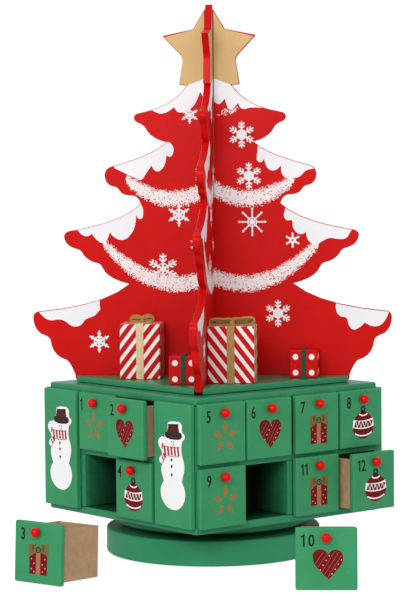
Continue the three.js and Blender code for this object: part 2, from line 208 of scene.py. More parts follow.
class Graph:
    """One material's nodes, with its surface shader."""

    def __init__(self, name: str) -> None:
        """Makes an empty material that ends in a Principled shader.

        Args:
            name: The material's name.
        """
        self.material = bpy.data.materials.new(name)
        self.material.use_nodes = True
        self.tree = self.material.node_tree
        self.tree.nodes.clear()
        self.shader = self.tree.nodes.new("ShaderNodeBsdfPrincipled")
        output = self.tree.nodes.new("ShaderNodeOutputMaterial")
        self.tree.links.new(self.shader.outputs[0], output.inputs[0])
        coordinates = self.tree.nodes.new("ShaderNodeTexCoord")
        self.place = Term(self, coordinates.outputs["Object"])
        self.facing = Term(self, coordinates.outputs["Normal"])

    def feed(self, socket: bpy.types.NodeSocket, source: Source) -> None:
        """Links a term to a socket, or sets the socket's own value.

        Args:
            socket: The socket to feed.
            source: A term, a number, a colour or a vector.
        """
        if isinstance(source, Term):
            self.tree.links.new(source.socket, socket)
        elif isinstance(source, (int, float)):
            single = socket.type == "VALUE"
            socket.default_value = source if single else (source,) * len(socket.default_value)
        else:
            socket.default_value = (*source, 1.0) if socket.type == "RGBA" else tuple(source)

    def add(self, kind: str, settings: dict, inputs: dict, output: int | str = 0) -> Term:
        """Adds a node.

        Args:
            kind: The node's type.
            settings: Its settings, which are set first.
            inputs: Its sockets, by number or name, and what feeds each.
            output: The output to return.

        Returns:
            That output, as a term.
        """
        node = self.tree.nodes.new(kind)
        for key, value in settings.items():
            setattr(node, key, value)
        for key, source in inputs.items():
            self.feed(node.inputs[key], source)
        return Term(self, node.outputs[output])

    def along(self, direction: Sequence[float], vector: Term | None = None) -> Term:
        """The part of a vector that lies along a direction.

        Args:
            direction: The direction, whose length scales the part.
            vector: The vector, or none for the place on the piece, in metres.

        Returns:
            The part, as a term.
        """
        inputs = {0: self.place if vector is None else vector, 1: direction}
        return self.add("ShaderNodeVectorMath", {"operation": "DOT_PRODUCT"}, inputs, "Value")

    def distance(self, direction: Sequence[float]) -> Term:
        """Millimetres from the origin along a direction."""
        return self.along([part / MM for part in direction])

    def noise(self, grain_mm: float, detail: float = 2.0, stretch: Sequence[float] = (1, 1, 1)) -> Term:
        """Soft noise.

        Args:
            grain_mm: About how large its grains are.
            detail: How many finer layers it has.
            stretch: How many times finer it is along each axis.

        Returns:
            The noise, from 0 to 1.
        """
        inputs = {"Vector": self.place, "Scale": stretch}
        place = self.add("ShaderNodeMapping", {"vector_type": "POINT"}, inputs)
        inputs = {"Vector": place, "Scale": 1 / (grain_mm * MM), "Detail": detail}
        return self.add("ShaderNodeTexNoise", {}, inputs)

    def specks(self, grain_mm: float) -> Term:
        """Small specks, each with a random number of its own.

        Args:
            grain_mm: About how large a speck is.

        Returns:
            The numbers, from 0 to 1.
        """
        inputs = {"Vector": self.place, "Scale": 1 / (grain_mm * MM)}
        colour = self.add("ShaderNodeTexVoronoi", {}, inputs, "Color")
        return self.add("ShaderNodeSeparateColor", {}, {0: colour})

    def blend(self, share: Source, low: Source, high: Source) -> Term:
        """A colour between two, by a share from 0 to 1."""
        return self.add("ShaderNodeMix", {"data_type": "RGBA"}, {0: share, 6: low, 7: high}, 2)

    def surface(self, **sockets: Source) -> None:
        """Feeds the shader's sockets, named with underscores for spaces."""
        for key, source in sockets.items():
            self.feed(self.shader.inputs[key.replace("_", " ")], source)

    def relief(self, height: Term, depth_mm: float, strength: float = 1.0) -> None:
        """Raises the surface by a height term, as bump of a depth in millimetres."""
        inputs = {"Strength": strength, "Distance": depth_mm * MM, "Height": height}
        self.surface(Normal=self.add("ShaderNodeBump", {}, inputs))


@dataclass(frozen=True)
class Finish:
    """A finish: a named colour that is laid on in its own way."""

    name: str
    colour: Rgb

    def tone(self, factor: float) -> Rgb:
        """The finish's colour made darker or lighter."""
        return tuple(min(1.0, part * factor) for part in self.colour)

    def lay(self, graph: Graph) -> None:
        """Lays the plain colour on; each finish has its own way."""
        graph.surface(Base_Color=self.colour)

    def material(self) -> bpy.types.Material:
        """Makes the finish's material.

        Returns:
            The material.
        """
        graph = Graph(self.name)
        self.lay(graph)
        return graph.material


@dataclass(frozen=True)
class Paint(Finish):
    """Sprayed satin paint on fibreboard: an even coat with a faint orange peel and cloudy thickness."""

    roughness: float = 0.42
    gloss: float = 0.04
    cloud: float = 0.06
    shine: float = 0.2
    coat_roughness: float = 0.2
    sheen_mm: float = 30.0
    sheen_swing: float = 0.16
    peel_mm: float = 1.1
    peel_swing: float = 0.05
    grit_mm: float = 0.35
    relief_mm: float = 0.03
    cloud_mm: float = 22.0
    dust_mm: float = 0.8
    dust_share: float = 0.008
    dust_strength: float = 0.25
    dust_tone: float = 1.8
    cloud_gain: float = 2.4
    peel_share: float = 0.7
    bump: float = 0.5

    def body(self, graph: Graph) -> Term:
        """The paint's own colour, with its clouds and a few fine specks of dust.

        Args:
            graph: The material's graph.

        Returns:
            The colour.
        """
        clouds = graph.noise(self.cloud_mm, 3).contrast(self.cloud_gain)
        base = graph.blend(clouds, self.tone(1 - self.cloud), self.tone(1 + self.cloud))
        dust = graph.specks(self.dust_mm).above(1 - self.dust_share)
        return graph.blend(dust * self.dust_strength, base, self.tone(self.dust_tone))

    def coat(self, graph: Graph) -> Term:
        """The colour over the piece; a paint with a pattern adds it here."""
        return self.body(graph)

    def lay(self, graph: Graph) -> None:
        """Lays on the colour, the sheen and the orange peel.

        Args:
            graph: The material's graph.
        """
        sheen = graph.noise(self.sheen_mm, 3)
        peel = graph.noise(self.peel_mm, 2)
        graph.surface(
            Base_Color=self.coat(graph),
            Roughness=self.roughness + sheen.swing(self.sheen_swing) + peel.swing(self.peel_swing),
            Coat_Weight=self.gloss,
            Coat_Roughness=self.coat_roughness,
            Specular_IOR_Level=self.shine,
        )
        grit = graph.noise(self.grit_mm, 1) * (1 - self.peel_share)
        graph.relief(peel * self.peel_share + grit, self.relief_mm, self.bump)


@dataclass(frozen=True)
class BayPaint(Paint):
    """Green paint with painted shade: it darkens to a dark green deep in the bays, and more on the bays'
    floors, where shade falls.
    """

    face: float = 84.4
    edge: float = 1.0
    skip: float = 2.0
    reach: float = 31.0
    # Colour of the painted shade deep in the bays.
    board: Rgb = srgb(20, 42, 29)
    floor: float = 30.0
    # Extra painted shade on the faces that lie flat inside the bays.
    lying_depth: float = 0.4
    ragged_mm: float = 6.0
    ragged: float = 0.3
    fade: float = 0.5

    def coat(self, graph: Graph) -> Term:
        """The green, darkened by painted shade in the depth of the bays.

        Args:
            graph: The material's graph.

        Returns:
            The colour.
        """
        # Painted shade: the deeper a place lies in a bay the darker it is, more so on lying faces, with a
        # ragged edge.
        outward = graph.distance((1, 0, 0)).size().most(graph.distance((0, 1, 0)).size())
        lying = graph.along(UP, graph.facing).above(FACING) * (self.face - self.edge - outward).above(0)
        deep = (self.face - self.skip - outward) / self.reach + lying * self.lying_depth
        depth = (deep + graph.noise(self.ragged_mm, 3).swing(self.ragged)).clamped()
        inside = graph.distance(UP).above(self.floor)
        return graph.blend(depth ** self.fade * inside, self.body(graph), self.board)


@dataclass(frozen=True)
class Garland:
    """A sprayed band of white stipple that hangs from the middle of a plate to each side."""

    low: float
    middle: float
    sag: float
    end: float
    half: float = 5.0
    fade: float = 0.35
    thin_from: float = 22.0
    thinning: float = 0.008

    def density(self, across: Term, height: Term) -> Term:
        """How thick the spray is at a place on the plate.

        Args:
            across: Millimetres from the plate's middle, without sign.
            height: Millimetres above the step board.

        Returns:
            1 on the band's line, falling to 0 at its edge and past its end.
        """
        away = (height - ((across - self.middle) ** 2.0 * self.sag + self.low)).size()
        past = (across - self.end).most(0.0) * self.fade
        thin = (across - self.end + self.thin_from).most(0.0) * self.thinning
        return 1 - away / (2 * self.half) - past - thin


@dataclass(frozen=True)
class Dab:
    """A short dab of stipple under the top snow, on the right of a face, slanting upwards."""

    low: float = 189.5
    start: float = 12.0
    slope: float = 0.32
    half: float = 6.5
    middle: float = 14.0
    reach: float = 12.0
    strength: float = 0.6

    def density(self, right: Term, height: Term) -> Term:
        """How thick the spray is at a place on the plate.

        Args:
            right: Millimetres to the right of the plate's middle.
            height: Millimetres above the step board.

        Returns:
            The dab's strength in its middle, falling away to all sides.
        """
        off = (height - self.low - (right - self.start) * self.slope) / self.half
        aside = (right - self.middle) / self.reach
        return (1 - off.size() - aside.size() ** 2.0) * self.strength


@dataclass(frozen=True)
class Stipple:
    """How a sprayed stipple breaks up into specks."""

    speck_mm: float = 0.6
    clump_mm: float = 1.3
    clump: float = 0.3
    gain: float = 2.5
    limit: float = 1.86
    bare: float = 0.09

    def specks(self, graph: Graph, cover: Term) -> Term:
        """Where the specks lie.

        Args:
            graph: The material's graph.
            cover: How thick the spray is.

        Returns:
            1 on a speck and 0 beside it.
        """
        grain = graph.specks(self.speck_mm)
        clumps = graph.noise(self.clump_mm, 1) * self.clump
        return (grain + clumps + cover * self.gain - self.limit).above(0) * grain.above(self.bare)


@dataclass(frozen=True)
class TreePaint(Paint):
    """Red paint with the garlands sprayed over both faces of a plate that runs along a direction."""

    along: tuple[float, float, float] = (1.0, 0.0, 0.0)
    foot: float = 125.7
    white: Rgb = srgb(238, 234, 233)
    garlands: tuple[Garland, ...] = (
        Garland(low=127.5, middle=27, sag=0.0128, end=60),
        Garland(low=66.4, middle=24, sag=0.0103, end=77),
    )
    dab: Dab = Dab()
    stipple: Stipple = Stipple()

    def coat(self, graph: Graph) -> Term:
        """The red, with the white stipple over it.

        Args:
            graph: The material's graph.

        Returns:
            The colour.
        """
        across = graph.distance(self.along)
        height = graph.distance(UP) - self.foot
        side = graph.along((-self.along[1], self.along[0], 0), graph.facing)
        cover = self.dab.density(across * side * -1, height)
        for garland in self.garlands:
            cover = cover.most(garland.density(across.size(), height))
        flat_face = side.size().above(FACING)
        return graph.blend(self.stipple.specks(graph, cover) * flat_face, self.body(graph), self.white)


@dataclass(frozen=True)
class StripedPaint(Paint):
    """Gift paint with printed diagonal stripes round the block."""

    lean: float = 1.3
    pitch_mm: float = 9.85
    stripe_mm: float = 4.2
    start_mm: float = 0.0
    ragged_mm: float = 1.5
    ragged: float = 0.5
    white: Rgb = srgb(242, 236, 232)

    def coat(self, graph: Graph) -> Term:
        """The red, with its white stripes.

        Args:
            graph: The material's graph.

        Returns:
            The colour.
        """
        across = graph.distance((DIAGONAL, -DIAGONAL, 0))
        inwards = graph.distance((DIAGONAL, DIAGONAL, 0))
        climb = graph.distance(UP) - (across - inwards) * self.lean + self.start_mm
        edge = graph.noise(self.ragged_mm, 2).swing(self.ragged)
        stripe = (self.stripe_mm - climb.cycle(self.pitch_mm) + edge).above(0)
        return graph.blend(stripe, self.body(graph), self.white)


@dataclass(frozen=True)
class Fibreboard(Finish):
    """Bare brown fibreboard, with pressed fibres and a dry matt face."""

    roughness: float = 0.84
    shine: float = 0.2
    cloud_mm: float = 9.0
    fibre_mm: float = 0.55
    fibre_lie: tuple[float, float, float] = (1, 0.35, 2.2)
    fibre_strength: float = 0.3
    fleck_mm: float = 0.9
    fleck_share: float = 0.035
    fleck_strength: float = 0.35
    grit_mm: float = 0.2
    relief_mm: float = 0.07
    cloud_gain: float = 2.6
    cloud_tones: tuple[float, float] = (0.88, 1.1)
    fibre_start: float = 0.55
    fibre_gain: float = 6.0
    fibre_share: float = 0.6
    dark_tone: float = 0.55
    dry: float = 0.14
    bump: float = 0.6

    def lay(self, graph: Graph) -> None:
        """Lays on the clouds, the fibres and the dark flecks.

        Args:
            graph: The material's graph.
        """
        clouds = graph.noise(self.cloud_mm, 4).contrast(self.cloud_gain)
        base = graph.blend(clouds, *(self.tone(tone) for tone in self.cloud_tones))
        fibres = graph.noise(self.fibre_mm, 3, self.fibre_lie)
        dark = fibres.rise(self.fibre_start, self.fibre_gain) * self.fibre_strength
        fleck = graph.specks(self.fleck_mm).above(1 - self.fleck_share) * self.fleck_strength
        graph.surface(
            Base_Color=graph.blend(dark.most(fleck), base, self.tone(self.dark_tone)),
            Roughness=self.roughness + fibres.swing(self.dry),
            Specular_IOR_Level=self.shine,
        )
        grit = graph.noise(self.grit_mm, 1) * (1 - self.fibre_share)
        graph.relief(fibres * self.fibre_share + grit, self.relief_mm, self.bump)


@dataclass(frozen=True)
class Ink(Finish):
    """A flat screen print: an opaque film with a faint weave of the screen and thin spots."""

    roughness: float = 0.5
    thin: float = 0.1
    under: Rgb | None = None
    shine: float = 0.14
    spot_mm: float = 0.9
    worn_mm: float = 1.6
    worn_strength: float = 0.7
    weave_mm: float = 0.5
    relief_mm: float = 0.02
    spot_rise: tuple[float, float] = (0.55, 5.0)
    worn_rise: tuple[float, float] = (0.4, 3.5)
    spot_swing: float = 0.06
    bump: float = 0.35

    def lay(self, graph: Graph) -> None:
        """Lays on the film, with what lies under it showing where it is worn.

        Args:
            graph: The material's graph.
        """
        spots = graph.noise(self.spot_mm, 3).rise(*self.spot_rise)
        base = graph.blend(spots, self.colour, self.tone(1 - self.thin))
        if self.under:
            worn = graph.noise(self.worn_mm, 4).rise(*self.worn_rise) * self.worn_strength
            base = graph.blend(worn, base, self.under)
        roughness = self.roughness + spots.swing(self.spot_swing)
        graph.surface(Base_Color=base, Roughness=roughness, Specular_IOR_Level=self.shine)
        graph.relief(graph.noise(self.weave_mm, 1), self.relief_mm, self.bump)


@dataclass(frozen=True)
class Lacquer(Finish):
    """Thick gloss enamel on a turned wooden ball."""

    roughness: float = 0.24
    gloss: float = 0.08
    coat_roughness: float = 0.08
    shine: float = 0.16
    flow_mm: float = 2.6
    flow_swing: float = 0.08
    flow_tones: tuple[float, float] = (0.9, 1.08)
    relief_mm: float = 0.05
    bump: float = 0.25

    def lay(self, graph: Graph) -> None:
        """Lays on the enamel, with its slow flow marks.

        Args:
            graph: The material's graph.
        """
        flow = graph.noise(self.flow_mm, 2)
        graph.surface(
            Base_Color=graph.blend(flow, *(self.tone(tone) for tone in self.flow_tones)),
            Roughness=self.roughness + flow * self.flow_swing,
            Coat_Weight=self.gloss,
            Coat_Roughness=self.coat_roughness,
            Specular_IOR_Level=self.shine,
        )
        graph.relief(flow, self.relief_mm, self.bump)


@dataclass(frozen=True)
class Ribbon(Finish):
    """Woven ribbon, with threads across and along it."""

    thread_mm: float = 0.42
    depth: float = 0.3
    roughness: float = 0.7
    slub_mm: float = 1.4
    slub_lie: tuple[float, float, float] = (1, 1, 0.4)
    slub_gain: float = 2.0
    slub_swing: float = 0.2
    relief_mm: float = 0.12
    bump: float = 0.7

    def lay(self, graph: Graph) -> None:
        """Lays on the threads and the slubs in them.

        Args:
            graph: The material's graph.
        """
        turn = 2 * math.pi / (self.thread_mm * MM)
        weft = graph.along((0, 0, turn)).math("SINE")
        warp = graph.along((turn * DIAGONAL, -turn * DIAGONAL, 0)).math("SINE")
        weave = weft * warp * 0.5 + 0.5
        slub = graph.noise(self.slub_mm, 3, self.slub_lie).contrast(self.slub_gain)
        low, high = self.tone(1 - self.depth), self.tone(1 + self.depth * 0.5)
        base = graph.blend(weave * 0.5 + slub * 0.5, low, high)
        graph.surface(Base_Color=base, Roughness=self.roughness + slub.swing(self.slub_swing))
        graph.relief(weave, self.relief_mm, self.bump)


@dataclass(frozen=True)
class Steel(Finish):
    """Zinc plated sheet with a crystalline bloom."""

    roughness: float = 0.3
    metal: float = 0.95
    bloom_mm: float = 3.5
    bloom_swing: float = 0.15
    bloom_tones: tuple[float, float] = (0.85, 1.1)
    grain_mm: float = 0.8
    relief_mm: float = 0.02
    bump: float = 0.3

    def lay(self, graph: Graph) -> None:
        """Lays on the zinc, with a tone and a gloss of its own for each crystal.

        Args:
            graph: The material's graph.
        """
        bloom = graph.specks(self.bloom_mm)
        base = graph.blend(bloom, *(self.tone(tone) for tone in self.bloom_tones))
        roughness = self.roughness + bloom * self.bloom_swing
        graph.surface(Base_Color=base, Metallic=self.metal, Roughness=roughness)
        graph.relief(graph.noise(self.grain_mm, 2), self.relief_mm, self.bump)


GREEN = Paint("green_paint", srgb(46, 138, 94))
FRONT_GREEN = Paint("front_green_paint", srgb(55, 145, 95), 0.46)
LID_GREEN = Paint("lid_green_paint", srgb(46, 138, 94), 0.32, 0.04, shine=0.34)
# Green with painted shade deep in the bays.
BAY_GREEN_SHADED = BayPaint("bay_paint", srgb(46, 138, 94))
RED_PAINT = Paint("red_paint", srgb(200, 12, 9), 0.4, 0.02, shine=0.1)
BARE = Fibreboard("bare_fibreboard", srgb(180, 146, 110))
KNOB_RED = Lacquer("knob_lacquer", srgb(214, 10, 5))
ZINC = Steel("zinc_sheet", srgb(150, 152, 154))
WHITE = Ink("white_ink", srgb(244, 243, 243), 0.45, 0.03)
SNOW = Ink("snow_ink", srgb(236, 237, 240), 0.45, 0.03)
GOLD = Ink("gold_ink", srgb(208, 174, 120), 0.42, 0.08)
BLACK = Ink("black_ink", srgb(22, 34, 28), 0.5)
WINE = Ink("wine_ink", srgb(116, 10, 14), 0.5)
PINK = Ink("pink_line_ink", srgb(188, 112, 92), 0.5)
PALE_PINK = Ink("pale_pink_ink", srgb(216, 170, 150), 0.5)
BRONZE = Ink("bronze_ink", srgb(160, 114, 68), 0.5, 0.1, srgb(78, 136, 82))
TAN = Ink("tan_ink", srgb(168, 110, 74), 0.5)
LOOP_TAN = Ink("loop_tan_ink", srgb(128, 98, 52), 0.5, 0.1, srgb(92, 112, 64))
SCARF_RED = Ink("scarf_red_ink", srgb(176, 44, 52), 0.5)
HAT_BLACK = Ink("hat_ink", srgb(50, 44, 42), 0.5, 0.2)
JUTE = Ribbon("jute_ribbon", srgb(236, 210, 164))
WORN_JUTE = Ribbon("worn_jute_ribbon", srgb(184, 142, 84))
JUTE_BOW = Ribbon("jute_bow_ribbon", srgb(186, 142, 70), depth=0.5)
PINE = Ribbon("pine_ribbon", srgb(34, 74, 52), 0.36)


class Finishes:
    """Makes each finish's material once."""

    def __init__(self) -> None:
        """Starts with none made."""
        self.made: dict[str, bpy.types.Material] = {}

    def get(self, finish: Finish) -> bpy.types.Material:
        """The finish's material.

        Args:
            finish: The finish.

        Returns:
            Its material, made on the first call.
        """
        if finish.name not in self.made:
            self.made[finish.name] = finish.material()
        return self.made[finish.name]


FINISHES = Finishes()


# Modelling


FaceTest = Callable[[Vector, Vector], bool]
MERGE_GAP = 2e-6
FLAT_WITHIN = math.radians(0.6)


def shift(x: float, y: float, z: float) -> Matrix:
    """A move by millimetres."""
    return Matrix.Translation(Vector((x, y, z)) * MM)


def turned(degrees: float, axis: str = "Z") -> Matrix:
    """A turn about an axis through the origin."""
    return Matrix.Rotation(math.radians(degrees), 4, axis)


def only(*pieces: Piece) -> None:
    """Selects some pieces alone, with the first one active.

    Args:
        pieces: The pieces.
    """
    bpy.ops.object.select_all(action="DESELECT")
    for piece in pieces:
        piece.select_set(True)
    bpy.context.view_layer.objects.active = pieces[0]


def linked(name: str, data: bpy.types.ID) -> Piece:
    """A new object in the scene.

    Args:
        name: Its name.
        data: Its mesh, curve, light or camera.

    Returns:
        The object.
    """
    made = bpy.data.objects.new(name, data)
    bpy.context.scene.collection.objects.link(made)
    return made


def fresh(name: str) -> Piece:
    """Names the primitive that was just added, and puts its place, turn and size in its mesh.

    Args:
        name: Its name.

    Returns:
        The primitive.
    """
    piece = bpy.context.active_object
    piece.name = name
    bpy.ops.object.transform_apply(location=True, rotation=True, scale=True)
    return piece


@contextmanager
def editing(piece: Piece, test: FaceTest | None = None) -> Iterator[None]:
    """Edit mode on a piece, with the faces that pass a test selected.

    Args:
        piece: The piece to edit.
        test: Takes a face's centre and normal. With none, all faces are selected.

    Yields:
        Nothing, in edit mode.
    """
    only(piece)
    mesh = piece.data
    for part in (mesh.vertices, mesh.edges):
        part.foreach_set("select", [False] * len(part))
    mesh.polygons.foreach_set("select", [test is None or test(f.center, f.normal) for f in mesh.polygons])
    bpy.context.tool_settings.mesh_select_mode = (False, False, True)
    bpy.ops.object.mode_set(mode="EDIT")
    yield
    bpy.ops.object.mode_set(mode="OBJECT")


def apply_modifier(piece: Piece, kind: str, **settings: object) -> None:
    """Adds a modifier and applies it.

    Args:
        piece: The piece.
        kind: The modifier's type.
        settings: The modifier's settings.
    """
    only(piece)
    modifier = piece.modifiers.new(kind.lower(), kind)
    for key, value in settings.items():
        setattr(modifier, key, value)
    bpy.ops.object.modifier_apply(modifier=modifier.name)


def ease(piece: Piece, width_mm: float, segments: int = 3, limit: float = 40) -> None:
    """Rounds a piece's edges that are sharper than a limit in degrees."""
    sharp = {"limit_method": "ANGLE", "angle_limit": math.radians(limit)}
    apply_modifier(piece, "BEVEL", width=width_mm * MM, segments=segments, **sharp)


def smooth(piece: Piece, limit: float = 42) -> None:
    """Gives a piece smooth shading that keeps flat faces flat.

    Args:
        piece: The piece.
        limit: The angle in degrees from which an edge stays sharp.
    """
    only(piece)
    bpy.ops.object.shade_smooth_by_angle(angle=math.radians(limit))
    apply_modifier(piece, "WEIGHTED_NORMAL", keep_sharp=True, weight=50)


def dress(piece: Piece, finish: Finish) -> Piece:
    """Gives a piece one finish all over.

    Args:
        piece: The piece.
        finish: The finish.

    Returns:
        The piece.
    """
    piece.data.materials.clear()
    piece.data.materials.append(FINISHES.get(finish))
    return piece


def box(
    name: str, low: Sequence[float], high: Sequence[float], round_mm: float, segments: int = 3
) -> Piece:
    """A board with eased edges between two corners.

    Args:
        name: The piece's name.
        low: Its lowest corner, in metres.
        high: Its highest corner, in metres.
        round_mm: Its edges' radius.
        segments: Faces across each rounded edge.

    Returns:
        The board.
    """
    low, high = Vector(low), Vector(high)
    bpy.ops.mesh.primitive_cube_add(size=1, location=(low + high) / 2, scale=high - low)
    piece = fresh(name)
    ease(piece, round_mm, segments)
    smooth(piece)
    return piece


def disc(name: str, low: Sequence[float], high: Sequence[float], round_mm: float) -> Piece:
    """A round board on the axis, with eased rims.

    Args:
        name: The piece's name.
        low: Its box's lowest corner, in metres.
        high: Its box's highest corner, in metres.
        round_mm: Its rims' radius.

    Returns:
        The disc.
    """
    radius, depth, middle = (high[0] - low[0]) / 2, high[2] - low[2], (high[2] + low[2]) / 2
    bpy.ops.mesh.primitive_cylinder_add(vertices=180, radius=radius, depth=depth, location=(0, 0, middle))
    piece = fresh(name)
    ease(piece, round_mm, 4)
    smooth(piece)
    return piece


def copy_of(piece: Piece, name: str, place: Matrix) -> Piece:
    """A copy of a piece with its own mesh, put in place.

    Args:
        piece: The piece to copy.
        name: The copy's name.
        place: Where it goes, applied to its mesh.

    Returns:
        The copy.
    """
    copy = linked(name, piece.data.copy())
    copy.data.transform(place)
    return copy


def drop(*pieces: Piece) -> None:
    """Removes patterns that were only made to be copied."""
    for piece in pieces:
        bpy.data.objects.remove(piece, do_unlink=True)


def joined(name: str, pieces: Sequence[Piece]) -> Piece:
    """Joins several pieces into one.

    Args:
        name: The name of the whole.
        pieces: The pieces, of which the first takes in the others.

    Returns:
        The whole.
    """
    only(*pieces)
    if len(pieces) > 1:
        bpy.ops.object.join()
    pieces[0].name = name
    return pieces[0]


def clean_copy(node: Piece, name: str) -> Piece:
    """A copy of a CAD node, with its loose triangles merged into flat faces.

    Args:
        node: The CAD node, which stays as it is.
        name: The copy's name.

    Returns:
        The copy, with no material.
    """
    piece = copy_of(node, name, Matrix.Identity(4))
    piece.data.materials.clear()
    with editing(piece):
        bpy.ops.mesh.customdata_custom_splitnormals_clear()
        bpy.ops.mesh.remove_doubles(threshold=MERGE_GAP)
        bpy.ops.mesh.dissolve_limited(angle_limit=FLAT_WITHIN)
    return piece


def settle(piece: Piece, body: str, slot: Slot, *nodes: str) -> None:
    """Gives a finished piece its place in the record.

    Args:
        piece: The piece.
        body: The body that it rides on.
        slot: Its material slot; not used.
        nodes: The CAD nodes that it stands for.
    """
    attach(piece, body)
    if nodes:
        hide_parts(*nodes)
    log.info("%s rides on %s", piece.name, body)


# Flat prints


PRINT_MM = 0.05
PRINT_GAP_MM = 0.0005
# How far a film's middle lies out from the board, in films, so that its back sinks in a little.
PRINT_LIFT = 0.4
UPRIGHT = turned(90, "X")


@dataclass(frozen=True)
class Outline:
    """A closed outline in millimetres, rounded except at its sharp points."""

    points: tuple[Point, ...]
    sharp: tuple[int, ...] = ()
    straight: bool = False

    def moved(self, x: float, y: float, turn: float = 0.0, scale: float = 1.0) -> Outline:
        """The outline scaled, turned and then moved.

        Args:
            x: How far it moves to the right.
            y: How far it moves up.
            turn: Its turn in degrees.
            scale: Its scale.

        Returns:
            The new outline.
        """
        c, s = scale * math.cos(math.radians(turn)), scale * math.sin(math.radians(turn))
        points = tuple((x + c * px - s * py, y + s * px + c * py) for px, py in self.points)
        return Outline(points, self.sharp, self.straight)


def polygon(*points: Point) -> Outline:
    """An outline with straight sides."""
    return Outline(points, (), True)


def round_spot(x: float, y: float, radius: float) -> Outline:
    """A round spot."""
    steps = [math.radians(a) for a in range(0, 360, 45)]
    return Outline(tuple((x + radius * math.cos(a), y + radius * math.sin(a)) for a in steps))


def stroke(points: Sequence[Point], width: float) -> Outline:
    """A thin line drawn through points.

    Args:
        points: The points.
        width: The line's width.

    Returns:
        The line's outline.
    """
    left, right = [], []
    for i, (x, y) in enumerate(points):
        (x0, y0), (x1, y1) = points[max(i - 1, 0)], points[min(i + 1, len(points) - 1)]
        length = math.hypot(x1 - x0, y1 - y0)
        nx, ny = -(y1 - y0) / length * width / 2, (x1 - x0) / length * width / 2
        left.append((x + nx, y + ny))
        right.append((x - nx, y - ny))
    return Outline(tuple(left + right[::-1]), (0, len(points) - 1, len(points), 2 * len(points) - 1))


def add_spline(
    curve: bpy.types.Curve, points: Sequence[Sequence[float]], sharp: Sequence[int] = (), closed: bool = True
) -> bpy.types.Spline:
    """Adds a line through points to a curve.

    Args:
        curve: The curve.
        points: The points, in the curve's own frame.
        sharp: The numbers of the points where it turns sharply.
        closed: Whether it ends where it starts.

    Returns:
        The line.
    """
    spline = curve.splines.new("BEZIER")
    spline.bezier_points.add(len(points) - 1)
    spline.use_cyclic_u = closed
    for i, (knot, point) in enumerate(zip(spline.bezier_points, points)):
        knot.co = point
        knot.handle_left_type = knot.handle_right_type = "VECTOR" if i in sharp else "AUTO"
    return spline


def curve_mesh(name: str, curve: bpy.types.Curve) -> Piece:
    """A curve's shape as a mesh.

    Args:
        name: The piece's name.
        curve: The curve.

    Returns:
        The piece.
    """
    only(linked(name, curve))
    bpy.ops.object.convert(target="MESH")
    return bpy.context.active_object


def flat(
    name: str, outlines: Sequence[Outline], finish: Finish, layer: int = 0, film: float = PRINT_MM
) -> Piece:
    """A printed shape: flat curves filled, made a mesh and stood up to face -Y.

    Args:
        name: The piece's name.
        outlines: Its outlines; one inside another is a hole.
        finish: Its ink.
        layer: How many films lie under it.
        film: The film's thickness in millimetres.

    Returns:
        The print, with X to the right and Z up, standing on the plane Y = 0.
    """
    curve = bpy.data.curves.new(name, "CURVE")
    curve.dimensions, curve.fill_mode, curve.resolution_u = "2D", "BOTH", 5
    curve.extrude = film / 2
    for outline in outlines:
        sharp = range(len(outline.points)) if outline.straight else outline.sharp
        spline = add_spline(curve, [(x, y, 0) for x, y in outline.points], sharp)
        if outline.straight:
            spline.resolution_u = 1
    shape = curve_mesh(name, curve)
    with editing(shape):
        bpy.ops.mesh.remove_doubles(threshold=PRINT_GAP_MM)
        bpy.ops.mesh.normals_make_consistent(inside=False)
    lift = shift(0, -film * (layer + PRINT_LIFT), 0)
    shape.data.transform(lift @ UPRIGHT @ Matrix.Scale(MM, 4))
    return dress(shape, finish)


# Sub-assemblies


@dataclass
class Stand:
    """The round base, the swivel bearing and the turntable disc, in millimetres."""

    base_round: float = 1.5
    turn_round: float = 2.0
    sheet_ease: float = 0.08
    sheet_smooth: float = 35.0

    def build(self, nodes: Nodes) -> None:
        """Builds and dresses the stand.

        Args:
            nodes: The CAD nodes by name.
        """
        rows = (("base_disc", "base", self.base_round), ("turntable_disc", "cabinet", self.turn_round))
        for node, body, rounding in rows:
            low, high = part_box(node)
            settle(dress(disc(f"{node}_painted", low, high, rounding), GREEN), body, Slot.GREEN, node)
        for node, body in (("bearing_lower_plate", "base"), ("bearing_upper_plate", "cabinet")):
            plate = clean_copy(nodes[node], f"{node}_zinc")
            ease(plate, self.sheet_ease, 1)
            smooth(plate, self.sheet_smooth)
            settle(dress(plate, ZINC), body, Slot.STEEL, node)


@dataclass
class Cabinet:
    """The cabinet's boards: floor, lid, step board, and the walls and shelves between the drawers.

    The sizes are in millimetres.
    """

    board_round: float = 1.3
    wall_ease: float = 0.25
    solid_boards: tuple[str, ...] = ("cabinet_floor", "cabinet_top")
    inner_words: tuple[str, ...] = ("shelf", "divider", "wall")

    def build(self, nodes: Nodes) -> None:
        """Builds and dresses the boards.

        Args:
            nodes: The CAD nodes by name.
        """
        for node in self.solid_boards:
            low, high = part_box(node)
            board = box(f"{node}_painted", low, high, self.board_round, 4)
            # The floor carries painted shade deep in the bays; the lid does not.
            paint = BAY_GREEN_SHADED if node == "cabinet_floor" else LID_GREEN
            settle(dress(board, paint), "cabinet", Slot.GREEN, node)
        for node in sorted(nodes):
            if any(word in node for word in self.inner_words):
                wall = clean_copy(nodes[node], f"{node}_painted")
                ease(wall, self.wall_ease, 1)
                smooth(wall)
                # Inner walls and shelves carry painted shade deep in the bays; the end walls are plain green.
                settle(dress(wall, GREEN if "end_wall" in node else BAY_GREEN_SHADED), "cabinet", Slot.GREEN, node)
        step = clean_copy(nodes["step_board"], "step_board_painted")
        smooth(step)
        settle(dress(step, LID_GREEN), "cabinet", Slot.GREEN, "step_board")


